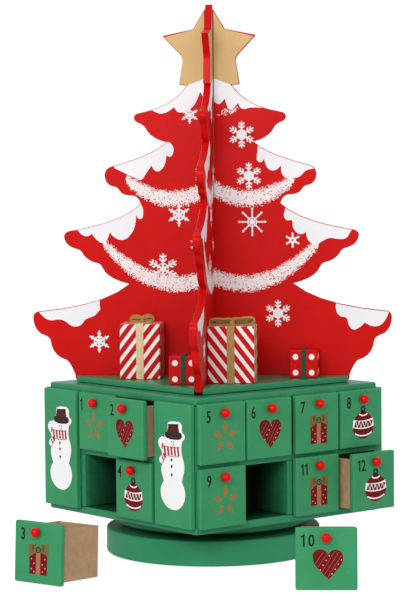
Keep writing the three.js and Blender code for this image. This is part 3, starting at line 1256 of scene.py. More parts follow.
@dataclass
class Snowman:
    """The printed snowman, drawn in millimetres from the middle of a panel's lower edge."""

    body: Outline = Outline(
        (
            (1.0, 12.0), (6.6, 12.9), (11.8, 17.0), (14.1, 22.7), (13.4, 27.4), (10.6, 31.8),
            (11.9, 35.4), (13.4, 40.4), (13.0, 45.2), (10.8, 50.4), (10.5, 55.7), (11.3, 59.3),
            (13.8, 61.2), (14.1, 63.4), (11.6, 65.2), (11.1, 67.2), (11.1, 70.1), (9.0, 71.9),
            (4.2, 72.2), (-1.8, 71.6), (-3.9, 70.7), (-4.4, 65.6), (-7.6, 63.0), (-7.4, 60.6),
            (-10.3, 60.9), (-13.2, 59.6), (-14.7, 56.8), (-13.6, 54.2), (-10.9, 51.0), (-10.3, 48.7),
            (-12.8, 46.8), (-13.6, 44.4), (-10.4, 42.0), (-11.4, 39.6), (-10.9, 35.8), (-8.7, 30.9),
            (-11.4, 27.4), (-12.3, 23.3), (-10.3, 17.6), (-5.2, 13.5),
        ),
        (5, 11, 14, 20, 21, 22, 23, 29, 32, 35),
    )
    crown: Outline = polygon((-3.5, 70.0), (7.5, 70.8), (7.8, 65.2), (-3.8, 64.6))
    brim: Outline = Outline(
        (
            (-7.2, 62.2), (-6.2, 64.4), (-3.0, 64.9), (3.0, 64.9), (8.4, 65.2), (10.8, 64.2),
            (11.2, 62.3), (9.4, 60.7), (4.0, 59.9), (-3.0, 60.1),
        )
    )
    band: Outline = polygon((-3.9, 67.0), (7.9, 67.7), (8.3, 65.4), (-4.5, 64.7))
    loose_bars: tuple[Outline, ...] = (
        polygon((-10.2, 56.8), (-8.9, 56.4), (-9.7, 52.4), (-11.0, 53.0)),
        polygon((-9.7, 49.2), (-8.2, 49.9), (-5.8, 47.2), (-7.4, 46.0)),
        polygon((-11.2, 47.6), (-10.4, 48.2), (-8.4, 45.2), (-9.4, 44.4)),
    )
    hems: tuple[tuple[Point, ...], ...] = (
        ((-9.0, 54.9), (-3.0, 54.4), (3.0, 54.4), (8.6, 55.2)),
        ((-6.8, 48.5), (-1.0, 48.2), (4.4, 48.4), (8.4, 49.2)),
        ((-7.1, 47.4), (-8.5, 45.0), (-10.2, 42.4)),
    )
    mouth: tuple[Point, ...] = ((-0.6, 56.2), (1.0, 55.2), (3.6, 55.3))
    nose: Outline = round_spot(1.9, 56.4, 0.6)
    eyes: tuple[Outline, ...] = (round_spot(-0.2, 58.2, 0.5), round_spot(2.6, 58.2, 0.5))
    buttons: tuple[Outline, ...] = tuple(round_spot(-0.1, height, 1.0) for height in (45.8, 41.4, 35.7))
    bar: Outline = polygon((0, 0), (2.0, 0), (2.9, -6.0), (0.9, -6.0))
    bars: int = 5
    bar_start: Point = (-8.8, 54.6)
    bar_step: Point = (3.6, 0.12)
    hem_width: float = 0.42
    mouth_width: float = 0.25

    def prints(self) -> list[Piece]:
        """The snowman's prints, lowest film first.

        Returns:
            The printed shapes, standing on the plane Y = 0.
        """
        (x, y), (across, up) = self.bar_start, self.bar_step
        layers = (
            ("body", [self.body], WHITE, 0),
            ("crown", [self.crown], HAT_BLACK, 1),
            ("brim", [self.brim], HAT_BLACK, 2),
            ("band", [self.band], WINE, 3),
            ("scarf", [self.bar.moved(x + i * across, y + i * up) for i in range(self.bars)], SCARF_RED, 1),
            ("scarf_knot", self.loose_bars, SCARF_RED, 2),
            ("hems", [stroke(hem, self.hem_width) for hem in self.hems], SCARF_RED, 3),
            ("buttons", [*self.buttons, *self.eyes], BLACK, 1),
            ("face", [self.nose, stroke(self.mouth, self.mouth_width)], PINK, 1),
        )
        return [flat(f"snowman_{part}", outlines, ink, layer) for part, outlines, ink, layer in layers]


@dataclass
class Panels:
    """The overlay panels beside the left and right drawers, each with its snowman."""

    rounding: float = 1.0
    snowman: Snowman = field(default_factory=Snowman)
    places: tuple[tuple[str, float], ...] = (
        ("left_front", -90.0), ("left_back", -90.0), ("right_front", 90.0), ("right_back", 90.0),
    )

    def build(self) -> None:
        """Builds and dresses the four panels and their prints."""
        pattern = joined("snowman_print", self.snowman.prints())
        for side, turn in self.places:
            node = f"snowman_panel_{side}"
            low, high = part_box(node)
            panel = box(f"{node}_painted", low, high, self.rounding)
            settle(dress(panel, FRONT_GREEN), "cabinet", Slot.PANEL, node)
            middle = (low + high) / 2
            face_x = low.x if turn < 0 else high.x
            place = Matrix.Translation((face_x, middle.y, low.z)) @ turned(turn)
            settle(copy_of(pattern, f"snowman_print_{side}", place), "cabinet", Slot.PANEL)
        drop(pattern)


@dataclass
class DrawerSizes:
    """One drawer, in millimetres. Y is 0 at the cabinet's face, and Z is 0 at the bay's floor."""

    front_w: float = 40.4
    front_h: float = 41.0
    front_t: float = 4.5
    lap: float = 1.5
    gap: float = 0.2
    rounding: float = 1.3
    tray_w: float = 35.0
    tray_rear: float = 37.8
    tray_low: float = 0.3
    tray_high: float = 35.3
    wall: float = 3.0
    rear_inset: float = 0.15
    floor_rise: float = 0.1
    board_ease: float = 0.45
    stand_reach: float = 0.9

    @property
    def face(self) -> float:
        """Where the front's outer face lies."""
        return -self.gap - self.front_t


@dataclass(frozen=True)
class Knob:
    """The turned ball knob, in millimetres. Its back and nose start at a share of its radius."""

    radius: float = 3.3
    out: float = 2.6
    height: float = 33.0
    back: float = 0.78
    neck: float = 0.35
    neck_squash: tuple[float, float, float] = (0.86, 0.2, 0.86)
    nose: float = 0.9
    nose_squash: tuple[float, float, float] = (1.0, 0.5, 1.0)

    def build(self, face: float) -> Piece:
        """Turns the knob: a ball flattened a little in front, with a short neck behind.

        Args:
            face: Where the front's outer face lies, in millimetres.

        Returns:
            The knob, in a drawer's own frame.
        """
        radius = self.radius * MM
        quarter = (math.pi / 2, 0, 0)
        bpy.ops.mesh.primitive_uv_sphere_add(segments=40, ring_count=24, radius=radius, rotation=quarter)
        knob = fresh("knob")
        with editing(knob, lambda centre, normal: centre.y > radius * self.back):
            bpy.ops.mesh.extrude_region_move(TRANSFORM_OT_translate={"value": (0, self.neck * MM, 0)})
            bpy.ops.transform.resize(value=self.neck_squash)
        with editing(knob, lambda centre, normal: centre.y < -radius * self.nose):
            bpy.ops.transform.resize(value=self.nose_squash)
        knob.data.transform(shift(0, face - self.out, self.height))
        smooth(knob, 60)
        return dress(knob, KNOB_RED)


@dataclass
class Figures:
    """The printed numbers, in narrow figures; lengths are in millimetres.

    The 1 is drawn, with a slanting flag and no foot.
    """

    height: float = 8.2
    narrow: float = 0.78
    bold: float = 0.017
    thick: float = 0.04
    depth: float = 0.6
    merge: float = 1e-5
    low: float = 28.4
    indent: float = 5.7
    indent_two: float = 4.0
    step: float = 5.0
    step_one: float = 3.7
    aside: dict[int, float] = field(
        default_factory=lambda: {1: -3.6, 2: -1.7, 4: -3.0, 6: -2.4, 7: -1.4, 10: -0.5}
    )
    spread: dict[int, float] = field(default_factory=lambda: {10: 1.3})
    one: Outline = polygon((1.5, 0), (2.7, 0), (2.7, 8.2), (2.0, 8.2), (0.1, 6.7), (0.1, 5.6), (1.5, 6.5))

    def typed(self, digit: str) -> Piece:
        """A figure in the built-in typeface.

        Args:
            digit: The figure.

        Returns:
            Its print, facing -Y, with its lower left corner at the origin.
        """
        bpy.ops.object.text_add()
        words = bpy.context.active_object.data
        words.body = digit
        words.extrude = self.thick
        words.resolution_u = 3
        words.offset = self.bold
        bpy.ops.object.convert(target="MESH")
        shape = bpy.context.active_object
        with editing(shape):
            bpy.ops.mesh.remove_doubles(threshold=self.merge)
        low_x = min(v.co.x for v in shape.data.vertices)
        low_y = min(v.co.y for v in shape.data.vertices)
        tall = max(v.co.y for v in shape.data.vertices) - low_y
        scale = self.height / tall * MM
        size = Matrix.Diagonal((scale * self.narrow, scale, self.depth * MM, 1))
        shape.data.transform(UPRIGHT @ size @ Matrix.Translation((-low_x, -low_y, 0)))
        return dress(shape, BLACK)

    def row(self, number: int, left: float) -> list[Piece]:
        """A number's figures, side by side.

        Args:
            number: The number.
            left: Where the front's left edge lies.

        Returns:
            The figures' prints, standing on the plane Y = 0.
        """
        left += (self.indent if number < 10 else self.indent_two) + self.aside.get(number, 0.0)
        shapes = []
        for digit in str(number):
            drawn = digit == "1"
            shape = flat("figure", [self.one], BLACK) if drawn else self.typed(digit)
            shape.data.transform(shift(left, 0, self.low))
            shapes.append(shape)
            left += (self.step_one if drawn else self.step) + self.spread.get(number, 0.0)
        return shapes


@dataclass
class Drawers:
    """All 24 drawers: in their bays, pulled out a little, or loose on the table; in millimetres.

    A face's row gives its first number, its columns and its turn. A loose drawer's row gives where it
    stands and the way it faces, in degrees.
    """

    sizes: DrawerSizes = field(default_factory=DrawerSizes)
    figures: Figures = field(default_factory=Figures)
    half: float = 84.4
    pitch: float = 42.8
    divider: float = 4.5
    end_wall: float = 3.0
    bays: tuple[float, float] = (77.6, 34.2)
    faces: tuple[tuple[int, int, float], ...] = ((1, 2, -90), (5, 4, 0), (13, 2, 90), (17, 4, 180))
    pulled: dict[int, float] = field(default_factory=lambda: {2: 7.0, 12: 12.5})
    set_off: dict[int, float] = field(default_factory=lambda: {6: -0.9, 10: -0.9, 7: 0.5, 11: 0.5})
    print_aside: dict[int, float] = field(default_factory=lambda: {1: -3.2, 4: -1.0, 10: 0.9})
    loose: dict[int, tuple[float, float, float]] = field(
        default_factory=lambda: {3: (-176.1, -28.8, 194.3), 10: (-47.9, -174.4, 227.5)}
    )

    def front(self) -> Piece:
        """The front board, with its edges rounded.

        Returns:
            The front, in a drawer's own frame.
        """
        s = self.sizes
        low = Vector((-s.front_w / 2, s.face, -s.lap)) * MM
        high = Vector((s.front_w / 2, -s.gap, s.front_h - s.lap)) * MM
        return dress(box("front", low, high, s.rounding, 4), FRONT_GREEN)

    def tray(self) -> Piece:
        """The tray, glued up from four fibreboard pieces.

        Returns:
            The tray, in a drawer's own frame.
        """
        s = self.sizes
        half, inner, inside_rear = s.tray_w / 2, s.tray_w / 2 - s.wall, s.tray_rear - s.wall
        rows = (
            ((-half, -s.gap, s.tray_low), (-inner, s.tray_rear, s.tray_high)),
            ((inner, -s.gap, s.tray_low), (half, s.tray_rear, s.tray_high)),
            ((-inner, inside_rear, s.tray_low), (inner, s.tray_rear - s.rear_inset, s.tray_high)),
            ((-inner, -s.gap, s.tray_low + s.floor_rise), (inner, inside_rear, s.tray_low + s.wall)),
        )
        boards = [
            box(f"tray_board_{i}", Vector(low) * MM, Vector(high) * MM, s.board_ease, 2)
            for i, (low, high) in enumerate(rows)
        ]
        return dress(joined("tray", boards), BARE)

    def place(self, number: int, first: int, columns: int, turn: float) -> tuple[Matrix, float]:
        """Where a drawer stands, and how far its tray is off its column.

        Args:
            number: The drawer's number.
            first: The first number on its face.
            columns: Drawers in each row of its face.
            turn: The face's turn about the cabinet's axis, in degrees.

        Returns:
            The drawer's place, and its tray's offset in millimetres.
        """
        s = self.sizes
        if number in self.loose:
            x, y, facing = self.loose[number]
            tilt = math.atan((s.tray_low + s.lap) / (s.tray_rear + s.stand_reach))
            c, sn = math.cos(tilt), math.sin(tilt)
            rest = shift(0, (s.gap + s.front_t) * c + s.lap * sn, s.lap * c - s.stand_reach * sn)
            stand = shift(x, y, 0) @ turned(facing + 90)
            return stand @ rest @ Matrix.Rotation(-tilt, 4, "X"), 0.0
        column, row = (number - first) % columns, (number - first) // columns
        centre = (column - (columns - 1) / 2) * self.pitch
        outermost = columns == 4 and column in (0, 3)
        outer = (self.pitch + self.divider / 2 + self.half - self.end_wall) / 2
        bay = math.copysign(outer if outermost else self.pitch / 2, centre)
        where = shift(centre, -self.half - self.pulled.get(number, 0), self.bays[row])
        return turned(turn) @ where, bay - centre

    def build(self) -> None:
        """Builds every drawer from one front, one tray, one knob and four pictures."""
        front, tray, knob = self.front(), self.tray(), Knob().build(self.sizes.face)
        pictures = Pictures().patterns()
        for first, columns, turn in self.faces:
            for number in range(first, first + 2 * columns):
                place, tray_off = self.place(number, first, columns, turn)
                name = f"drawer_{number:02d}"
                off = place @ shift(self.set_off.get(number, 0.0), 0, 0)
                settle(copy_of(front, f"{name}_front", off), name, Slot.DRAWER, name)
                settle(copy_of(tray, f"{name}_tray", place @ shift(tray_off, 0, 0)), name, Slot.DRAWER)
                settle(copy_of(knob, f"{name}_knob", off), name, Slot.DRAWER)
                self.print_on(number, name, off, pictures[Motif((number - 1) % len(Motif))])
        drop(front, tray, knob, *pictures.values())

    def print_on(self, number: int, name: str, place: Matrix, picture: Piece) -> None:
        """Prints a drawer's number and picture on its front.

        Args:
            number: The drawer's number.
            name: The drawer's body.
            place: Where its front is.
            picture: The picture's pattern.
        """
        figures = self.figures.row(number, -self.sizes.front_w / 2)
        aside = shift(self.print_aside.get(number, 0.0), 0, 0)
        both = joined(f"{name}_print", [copy_of(picture, f"{name}_picture", aside), *figures])
        both.data.transform(place @ shift(0, self.sizes.face, -self.sizes.lap))
        settle(both, name, Slot.DRAWER)


@dataclass
class Pictures:
    """The drawers' four pictures, drawn in millimetres from the middle of a front's lower edge."""

    heart: Outline = Outline(
        (
            (0.5, 7.0), (4.4, 11.4), (8.6, 16.4), (9.9, 21.0), (9.0, 24.7), (5.8, 26.4), (2.4, 25.7),
            (0.4, 23.4), (-1.8, 25.9), (-5.4, 26.7), (-8.8, 25.1), (-9.7, 21.2), (-8.2, 16.6),
            (-4.0, 11.6),
        ),
        (0, 7),
    )
    ball: Outline = Outline(
        (
            (1.4, 6.0), (7.6, 8.2), (11.4, 13.2), (11.2, 18.4), (7.4, 23.2), (3.6, 25.3), (-0.8, 25.3),
            (-4.8, 23.0), (-8.6, 18.2), (-8.9, 13.2), (-4.9, 8.1),
        )
    )
    petal: Outline = Outline(((0, 3.0), (2.0, 5.6), (2.2, 7.4), (0, 12.4), (-2.2, 7.4), (-2.0, 5.6)), (0, 3))
    petals: int = 5
    petal_scale: float = 0.93
    star_middle: Point = (1.5, 17.9)
    heart_lines: tuple[tuple[Point, Point], ...] = (
        ((-8.0, 17.5), (-2.6, 25.3)), ((-6.3, 15.1), (-0.2, 24.1)), ((-3.9, 11.8), (4.8, 25.7)),
        ((-2.2, 9.9), (7.3, 25.1)), ((-0.4, 8.3), (9.0, 23.0)),
    )
    heart_line: float = 0.19
    heart_dots: tuple[Point, ...] = (
        (1.0, 22.6), (-1.0, 19.5), (-3.0, 16.4), (-4.9, 13.4),
        (8.9, 19.9), (6.8, 17.0), (4.8, 13.8), (2.8, 10.9),
    )
    heart_dot: float = 0.44
    heart_dot_film: float = 0.04
    parcel_sides: tuple[Outline, ...] = (
        polygon((-7.0, 17.4), (-4.8, 18.8), (-1.2, 21.0), (-1.2, 6.5), (-6.8, 6.3)),
        polygon((2.7, 21.0), (5.4, 20.2), (8.6, 19.0), (8.5, 6.0), (2.7, 6.2)),
    )
    parcel_loops: tuple[Outline, ...] = (
        polygon((-8.0, 26.0), (-0.6, 26.4), (-0.8, 18.4), (-7.8, 17.0)),
        polygon((2.1, 26.4), (9.7, 26.8), (9.5, 18.8), (2.3, 19.0)),
    )
    parcel_band: Outline = polygon((-1.2, 21.0), (2.7, 21.0), (2.7, 6.2), (-1.2, 6.5))
    parcel_middle: float = 0.75
    parcel_knot: tuple[float, float, float] = (22.6, 2.1, 1.5)
    parcel_rises: tuple[float, float] = (24.2, 22.4)
    parcel_bend: tuple[Point, ...] = ((3.2, 0.5), (5.0, 0.9), (4.4, 0.0), (5.4, -0.5))
    parcel_tick: tuple[Point, ...] = ((-0.8, 22.2), (0.0, 23.2), (0.8, 22.0))
    parcel_line: float = 0.34
    parcel_tick_line: float = 0.35
    parcel_spots: tuple[Point, ...] = (
        (-5.0, 16.4), (-2.9, 13.4), (-5.2, 9.6), (6.6, 16.8),
        (4.5, 13.2), (6.8, 10.8), (4.6, 8.3), (-2.8, 8.0),
    )
    parcel_spot: float = 0.46
    ring: tuple[Outline, ...] = (round_spot(1.2, 27.0, 2.5), round_spot(1.2, 27.2, 0.85))
    belt: Outline = Outline(
        (
            (-8.4, 20.0), (-3.6, 19.2), (1.4, 19.0), (6.6, 19.5), (10.8, 20.6), (11.5, 14.8), (6.6, 13.5),
            (1.4, 13.1), (-3.6, 13.4), (-9.0, 14.5),
        ),
        (0, 4, 5, 9),
    )
    lower_band: Outline = stroke([(-6.8, 10.0), (-2.8, 8.6), (1.6, 8.2), (5.9, 8.8), (9.6, 10.4)], 1.0)
    upper_band: Outline = stroke([(-2.6, 23.9), (-0.8, 22.9), (1.4, 22.6), (3.6, 22.9), (5.3, 23.9)], 0.9)
    teeth: int = 5
    tooth_start: float = -7.7
    tooth_step: float = 3.45
    tooth_up: Outline = polygon((0, -0.3), (2.9, -0.3), (1.4, 3.5))
    tooth_down: Outline = polygon((1.9, 4.0), (4.5, 4.0), (3.2, 0.1))
    tooth_low: float = 14.3
    tooth_sag: float = 0.013
    tooth_middle: float = -0.4

    def patterns(self) -> dict[Motif, Piece]:
        """One pattern for each picture."""
        makers = (self.star, self.hearts, self.parcel, self.bauble)
        return {motif: make() for motif, make in zip(Motif, makers)}

    def star(self) -> Piece:
        """A star of separate petals.

        Returns:
            The picture.
        """
        step = 360.0 / self.petals
        petals = [self.petal.moved(*self.star_middle, step * i, self.petal_scale) for i in range(self.petals)]
        return joined("star_picture", [flat("petals", petals, BRONZE)])

    def hearts(self) -> Piece:
        """A heart with fine slanting lines and dots.

        Returns:
            The picture.
        """
        lines = [stroke(pair, self.heart_line) for pair in self.heart_lines]
        dots = [round_spot(x, y, self.heart_dot) for x, y in self.heart_dots]
        shapes = [
            flat("heart", [self.heart], WINE),
            flat("heart_lines", lines, PINK, 1),
            flat("heart_dots", dots, PALE_PINK, 2, self.heart_dot_film),
        ]
        return joined("heart_picture", shapes)

    def parcel(self) -> Piece:
        """A spotted parcel with a ribbon and bow.

        Returns:
            The picture.
        """
        middle, (knot_y, *knot_radii) = self.parcel_middle, self.parcel_knot
        knot = [round_spot(middle, knot_y, radius) for radius in knot_radii]
        marks = [stroke([(middle + x, y) for x, y in self.parcel_tick], self.parcel_tick_line)]
        for side in (-1, 1):
            for rise in self.parcel_rises:
                bend = [(middle + side * out, rise + up) for out, up in self.parcel_bend]
                marks.append(stroke(bend, self.parcel_line))
        spots = [round_spot(x, y, self.parcel_spot) for x, y in self.parcel_spots]
        shapes = [
            flat("parcel_loops", self.parcel_loops, LOOP_TAN),
            flat("parcel", self.parcel_sides, WINE, 1),
            flat("parcel_band", [self.parcel_band], TAN, 1),
            flat("parcel_lines", [*knot, *marks], BLACK, 2),
            flat("parcel_spots", spots, PALE_PINK, 2),
        ]
        return joined("parcel_picture", shapes)

    def bauble(self) -> Piece:
        """A hanging ball with white bands and a zigzag.

        Returns:
            The picture.
        """
        teeth = []
        for i in range(self.teeth):
            x = self.tooth_start + i * self.tooth_step
            low = self.tooth_low + self.tooth_sag * (x - self.tooth_middle) ** 2
            teeth += [self.tooth_up.moved(x, low), self.tooth_down.moved(x, low)]
        shapes = [
            flat("ball", [self.ball], WINE),
            flat("ring", self.ring, HAT_BLACK),
            flat("bands", [self.belt, self.lower_band, self.upper_band], WHITE, 1),
            flat("zigzag", teeth, WINE, 2),
        ]
        return joined("bauble_picture", shapes)


Leaf = tuple[float, float, float]
FERN_LEAVES: tuple[Leaf, ...] = ((0.43, 0.19, 0.13), (0.66, 0.17, 0.13))


@dataclass(frozen=True)
class CrystalShape:
    """How a kind of crystal is drawn, in shares of its radius.

    A leaf is its root's place on the arm, its reach to the side and its thickness.
    """

    hub: float
    stem: float
    leaves: tuple[Leaf, ...]
    slant: float = 0.0
    arms: int = 6
    hole: float = 0.0
    holes_out: float = 0.0
    hub_flare: float = 1.3
    tip_taper: float = 0.8
    tip: float = 0.96
    leaf_taper: float = 0.85

    def arm(self) -> list[Point]:
        """One arm that points up from the crystal's middle.

        Returns:
            Its points, from the hub up one side and down the other.
        """
        stem = self.stem
        half = [(stem * self.hub_flare, self.hub)]
        for root, reach, thick in self.leaves:
            end = root + reach * self.slant
            half += [(stem, root), (stem + reach, end), (stem + reach * self.leaf_taper, end + thick)]
            half += [(stem, root + thick)]
        half += [(stem * self.tip_taper, self.tip), (0, 1.0)]
        return half + [(-x, y) for x, y in reversed(half[:-1])]

    def outlines(self, x: float, y: float, radius: float) -> list[Outline]:
        """Draws a crystal.

        Args:
            x: Its place across the plate.
            y: Its height above the step board.
            radius: The length of an arm.

        Returns:
            Its outline, and the holes in its middle.
        """
        arm = polygon(*reversed(self.arm()))
        step = 360.0 / self.arms
        points = [point for i in range(self.arms) for point in arm.moved(x, y, -step * i, radius).points]
        holes = []
        if self.holes_out:
            for i in range(self.arms):
                angle = math.radians(step * (i + 0.5) + 90)
                out = radius * self.holes_out
                spot = (x + out * math.cos(angle), y + out * math.sin(angle))
                holes.append(round_spot(*spot, radius * self.hole))
        elif self.hole:
            holes.append(round_spot(x, y, radius * self.hole))
        return [polygon(*points), *holes]


CRYSTALS = {
    Crystal.FERN: CrystalShape(0.38, 0.05, FERN_LEAVES, slant=0.65),
    Crystal.PIERCED_FERN: CrystalShape(0.38, 0.05, FERN_LEAVES, slant=0.65, hole=0.07, holes_out=0.25),
    Crystal.PIERCED: CrystalShape(0.5, 0.085, ((0.64, 0.09, 0.12),), hole=0.07, holes_out=0.3),
    Crystal.SPOKES: CrystalShape(
        0.34, 0.042, ((0.62, 0.03, 0.09), (0.84, 0.035, 0.1)), arms=8, hole=0.05, holes_out=0.22
    ),
    Crystal.SMALL: CrystalShape(0.42, 0.1, ((0.78, 0.05, 0.12),), hole=0.13),
}


@dataclass
class Tree:
    """The two crossed plates and all that is printed on their four faces, in millimetres.

    Outlines and crystals are drawn from the middle of the tree's foot. A crystal's row gives its place,
    its radius and its kind.
    """

    foot: float = 125.7
    half_thick: float = 2.5
    edge_round: float = 0.35
    margin: float = 0.42
    merge: float = 1.2
    film: float = 0.09
    sink: float = 0.03
    block: float = 4.0
    facing: float = 0.99
    flat_within: float = 1.0
    star: Outline = polygon(
        (-45, 209.4), (-15.6, 208.9), (0, 214.8), (15.6, 208.9), (45, 209.4), (45, 290), (-45, 290)
    )
    snow: tuple[Outline, ...] = (
        Outline(
            (
                (-41.6, 191.4), (-38.8, 189.8), (-35.6, 188.8), (-30.6, 189.7), (-25.5, 193.2),
                (-22.6, 189.7), (-18.8, 189.6), (-13.9, 191.8), (-10.2, 195.6), (-8.0, 200.2),
                (-6.6, 204.0), (-3.6, 200.0), (0.5, 198.2), (4.1, 196.4), (6.9, 195.0), (9.2, 196.8),
                (11.3, 198.8), (12.6, 193.8), (14.4, 191.4), (17.6, 192.4), (20.4, 195.6), (23.6, 191.6),
                (29.5, 192.3), (41, 191.9), (44, 196), (30, 206), (15.6, 208.8), (0, 214.7),
                (-15.6, 208.8), (-30, 206), (-44, 197),
            ),
            (0, 4, 10, 16, 20, 23, 24, 25, 26, 27, 28, 29, 30),
        ),
        Outline(
            (
                (-33, 168.3), (-29.4, 168.2), (-26.5, 165.0), (-26.4, 160.6), (-28.9, 157.7),
                (-31.2, 158.9), (-32.3, 153.0), (-34.8, 148.8), (-37.6, 147.3), (-40.4, 148.6),
                (-42.1, 151.8), (-46.0, 146.2), (-50.0, 141.4), (-55.2, 143.3), (-61.4, 146.2),
                (-68.5, 149.6), (-72, 156), (-45, 167),
            ),
            (0, 5, 10, 15, 16, 17),
        ),
        Outline(
            (
                (-53, 128), (-49.4, 122.8), (-48.5, 117.4), (-50.0, 113.3), (-52.4, 113.9),
                (-53.7, 116.4), (-54.5, 108.8), (-57.7, 102.2), (-62.2, 98.5), (-67.2, 98.8),
                (-71.2, 101.6), (-72.8, 103.8), (-74.8, 98.9), (-78.2, 96.2), (-82.4, 98.4),
                (-85.9, 102.7), (-89.0, 101.1), (-92.6, 101.8), (-96.6, 105.6), (-96, 112), (-72, 124),
            ),
            (0, 5, 11, 15, 18, 19, 20),
        ),
        Outline(
            (
                (-80.6, 57), (-80.9, 51), (-80.6, 47.9), (-82.4, 45.9), (-84.5, 43.6), (-88.4, 42.0),
                (-91.6, 40.6), (-94.2, 37.2), (-98.6, 35.6), (-102.8, 36.9), (-106.4, 39.7),
                (-110.4, 40.8), (-117.4, 40.3), (-122.0, 42.7), (-126.6, 47.8), (-122, 54), (-100, 60),
            ),
            (0, 14, 15, 16),
        ),
        Outline(
            (
                (33.5, 168.2), (34.5, 164.0), (33.9, 158.4), (34.2, 154.4), (36.8, 153.3), (39.0, 155.9),
                (40.4, 151.0), (43.2, 147.8), (46.9, 147.5), (51.1, 150.7), (51.9, 144.7), (55.2, 141.9),
                (58.4, 142.3), (61.4, 141.9), (65.0, 143.4), (68.4, 146.7), (71.2, 147.8), (76, 148.6),
                (74, 156), (48, 167),
            ),
            (0, 5, 9, 17, 18, 19),
        ),
        Outline(
            (
                (52.6, 127), (53.9, 120.2), (53.0, 114.8), (55.0, 111.7), (58.6, 111.5), (59.3, 107.0),
                (62.0, 102.9), (65.6, 101.7), (68.7, 103.4), (69.5, 98.9), (72.4, 95.3), (76.4, 94.4),
                (80.4, 96.6), (85.2, 98.7), (93.0, 98.0), (97.5, 98.9), (100.3, 103.0), (103, 106.6),
                (98, 112), (72, 124),
            ),
            (0, 8, 17, 18, 19),
        ),
        Outline(
            (
                (90.6, 56), (90.1, 46.6), (92.8, 42.9), (97.4, 41.4), (98.9, 36.6), (101.9, 33.3),
                (105.6, 34.2), (110.5, 38.1), (115.5, 35.7), (121.2, 36.3), (125.0, 40.2), (128.2, 46.8),
                (122, 54), (104, 58),
            ),
            (0, 7, 11, 12, 13),
        ),
    )
    flakes: tuple[tuple[float, float, float, Crystal], ...] = (
        (-14.3, 187.6, 6.6, Crystal.PIERCED),
        (-22.6, 116.0, 8.6, Crystal.PIERCED),
        (-9.8, 94.8, 5.0, Crystal.SMALL),
        (-34.5, 77.1, 11.6, Crystal.PIERCED_FERN),
        (-81.4, 24.7, 8.2, Crystal.PIERCED),
        (-3.5, 144.9, 7.8, Crystal.FERN),
        (23.0, 173.1, 10.0, Crystal.FERN),
        (28.0, 143.6, 10.0, Crystal.FERN),
        (30.2, 110.6, 10.4, Crystal.SPOKES),
        (59.1, 97.4, 5.6, Crystal.SMALL),
        (48.3, 44.9, 10.0, Crystal.FERN),
    )

    def sheet(self, node: Piece, turn: Matrix) -> Piece:
        """One face of a plate as a thin film, set in from the plate's rounded edge, facing -Y.

        Args:
            node: The plate's CAD node.
            turn: Turns the film's frame to the face.

        Returns:
            The film, as a closed sheet.
        """
        face = clean_copy(node, "print_film")
        face.data.transform(turn.inverted())
        with editing(face, lambda centre, normal: normal.y > -self.facing):
            bpy.ops.mesh.delete(type="FACE")
        with editing(face):
            bpy.ops.mesh.remove_doubles(threshold=self.merge * MM)
            bpy.ops.mesh.dissolve_limited(angle_limit=math.radians(self.flat_within))
            bpy.ops.mesh.select_all(action="SELECT")
            bpy.ops.mesh.inset(thickness=self.margin * MM, use_boundary=True)
            bpy.ops.mesh.select_all(action="INVERT")
            bpy.ops.mesh.delete(type="FACE")
            bpy.ops.mesh.select_all(action="SELECT")
            bpy.ops.mesh.extrude_region_move(TRANSFORM_OT_translate={"value": (0, -self.film * MM, 0)})
            bpy.ops.mesh.select_all(action="SELECT")
            bpy.ops.mesh.normals_make_consistent(inside=False)
        face.data.transform(shift(0, self.sink, 0))
        return face

    def cut(
        self, name: str, film: Piece, outlines: Sequence[Outline], ink: Ink
    ) -> Piece:
        """The part of a film inside some outlines.

        Args:
            name: The print's name.
            film: The whole face's film.
            outlines: The outlines, in millimetres above the step board.
            ink: The print's ink.

        Returns:
            The print, in the film's frame.
        """
        block = flat("print_block", outlines, ink, 0, self.block)
        block.data.transform(shift(0, self.block * PRINT_LIFT - self.half_thick, self.foot))
        piece = copy_of(film, name, Matrix.Identity(4))
        apply_modifier(piece, "BOOLEAN", operation="INTERSECT", object=block, solver="EXACT")
        bpy.ops.object.shade_flat()
        drop(block)
        return dress(piece, ink)

    def build(self, nodes: Nodes) -> None:
        """Builds and dresses both plates and their prints.

        Args:
            nodes: The CAD nodes by name.
        """
        plates = (
            ("tree_plate_across", (DIAGONAL, -DIAGONAL, 0), (-45, 135)),
            ("tree_plate_through", (DIAGONAL, DIAGONAL, 0), (45, -135)),
        )
        red = RED_PAINT
        for node, along, turns in plates:
            plate = clean_copy(nodes[node], f"{node}_painted")
            ease(plate, self.edge_round, 2)
            smooth(plate)
            name = f"{node}_paint"
            paint = TreePaint(name, red.colour, red.roughness, red.gloss, shine=red.shine, along=along)
            settle(dress(plate, paint), "cabinet", Slot.RED, node)
            for side, degrees in zip(("front", "back"), turns):
                self.print_face(nodes[node], f"{node}_{side}", turned(degrees))

    def print_face(self, node: Piece, name: str, turn: Matrix) -> None:
        """Prints the snow, the star and the snowflakes on one face.

        Args:
            node: The plate's CAD node.
            name: The face's name.
            turn: Turns the face's frame to its place.
        """
        film = self.sheet(node, turn)
        prints = [
            self.cut(f"{name}_snow", film, self.snow, SNOW),
            self.cut(f"{name}_star", film, [self.star], GOLD),
        ]
        outlines = []
        for x, y, radius, kind in self.flakes:
            outlines += CRYSTALS[kind].outlines(x, y, radius)
        crystals = flat(f"{name}_flakes", outlines, SNOW, 1)
        crystals.data.transform(shift(0, -self.half_thick, self.foot))
        for piece in (*prints, crystals):
            piece.data.transform(turn)
            settle(piece, "cabinet", Slot.RED)
        drop(film)


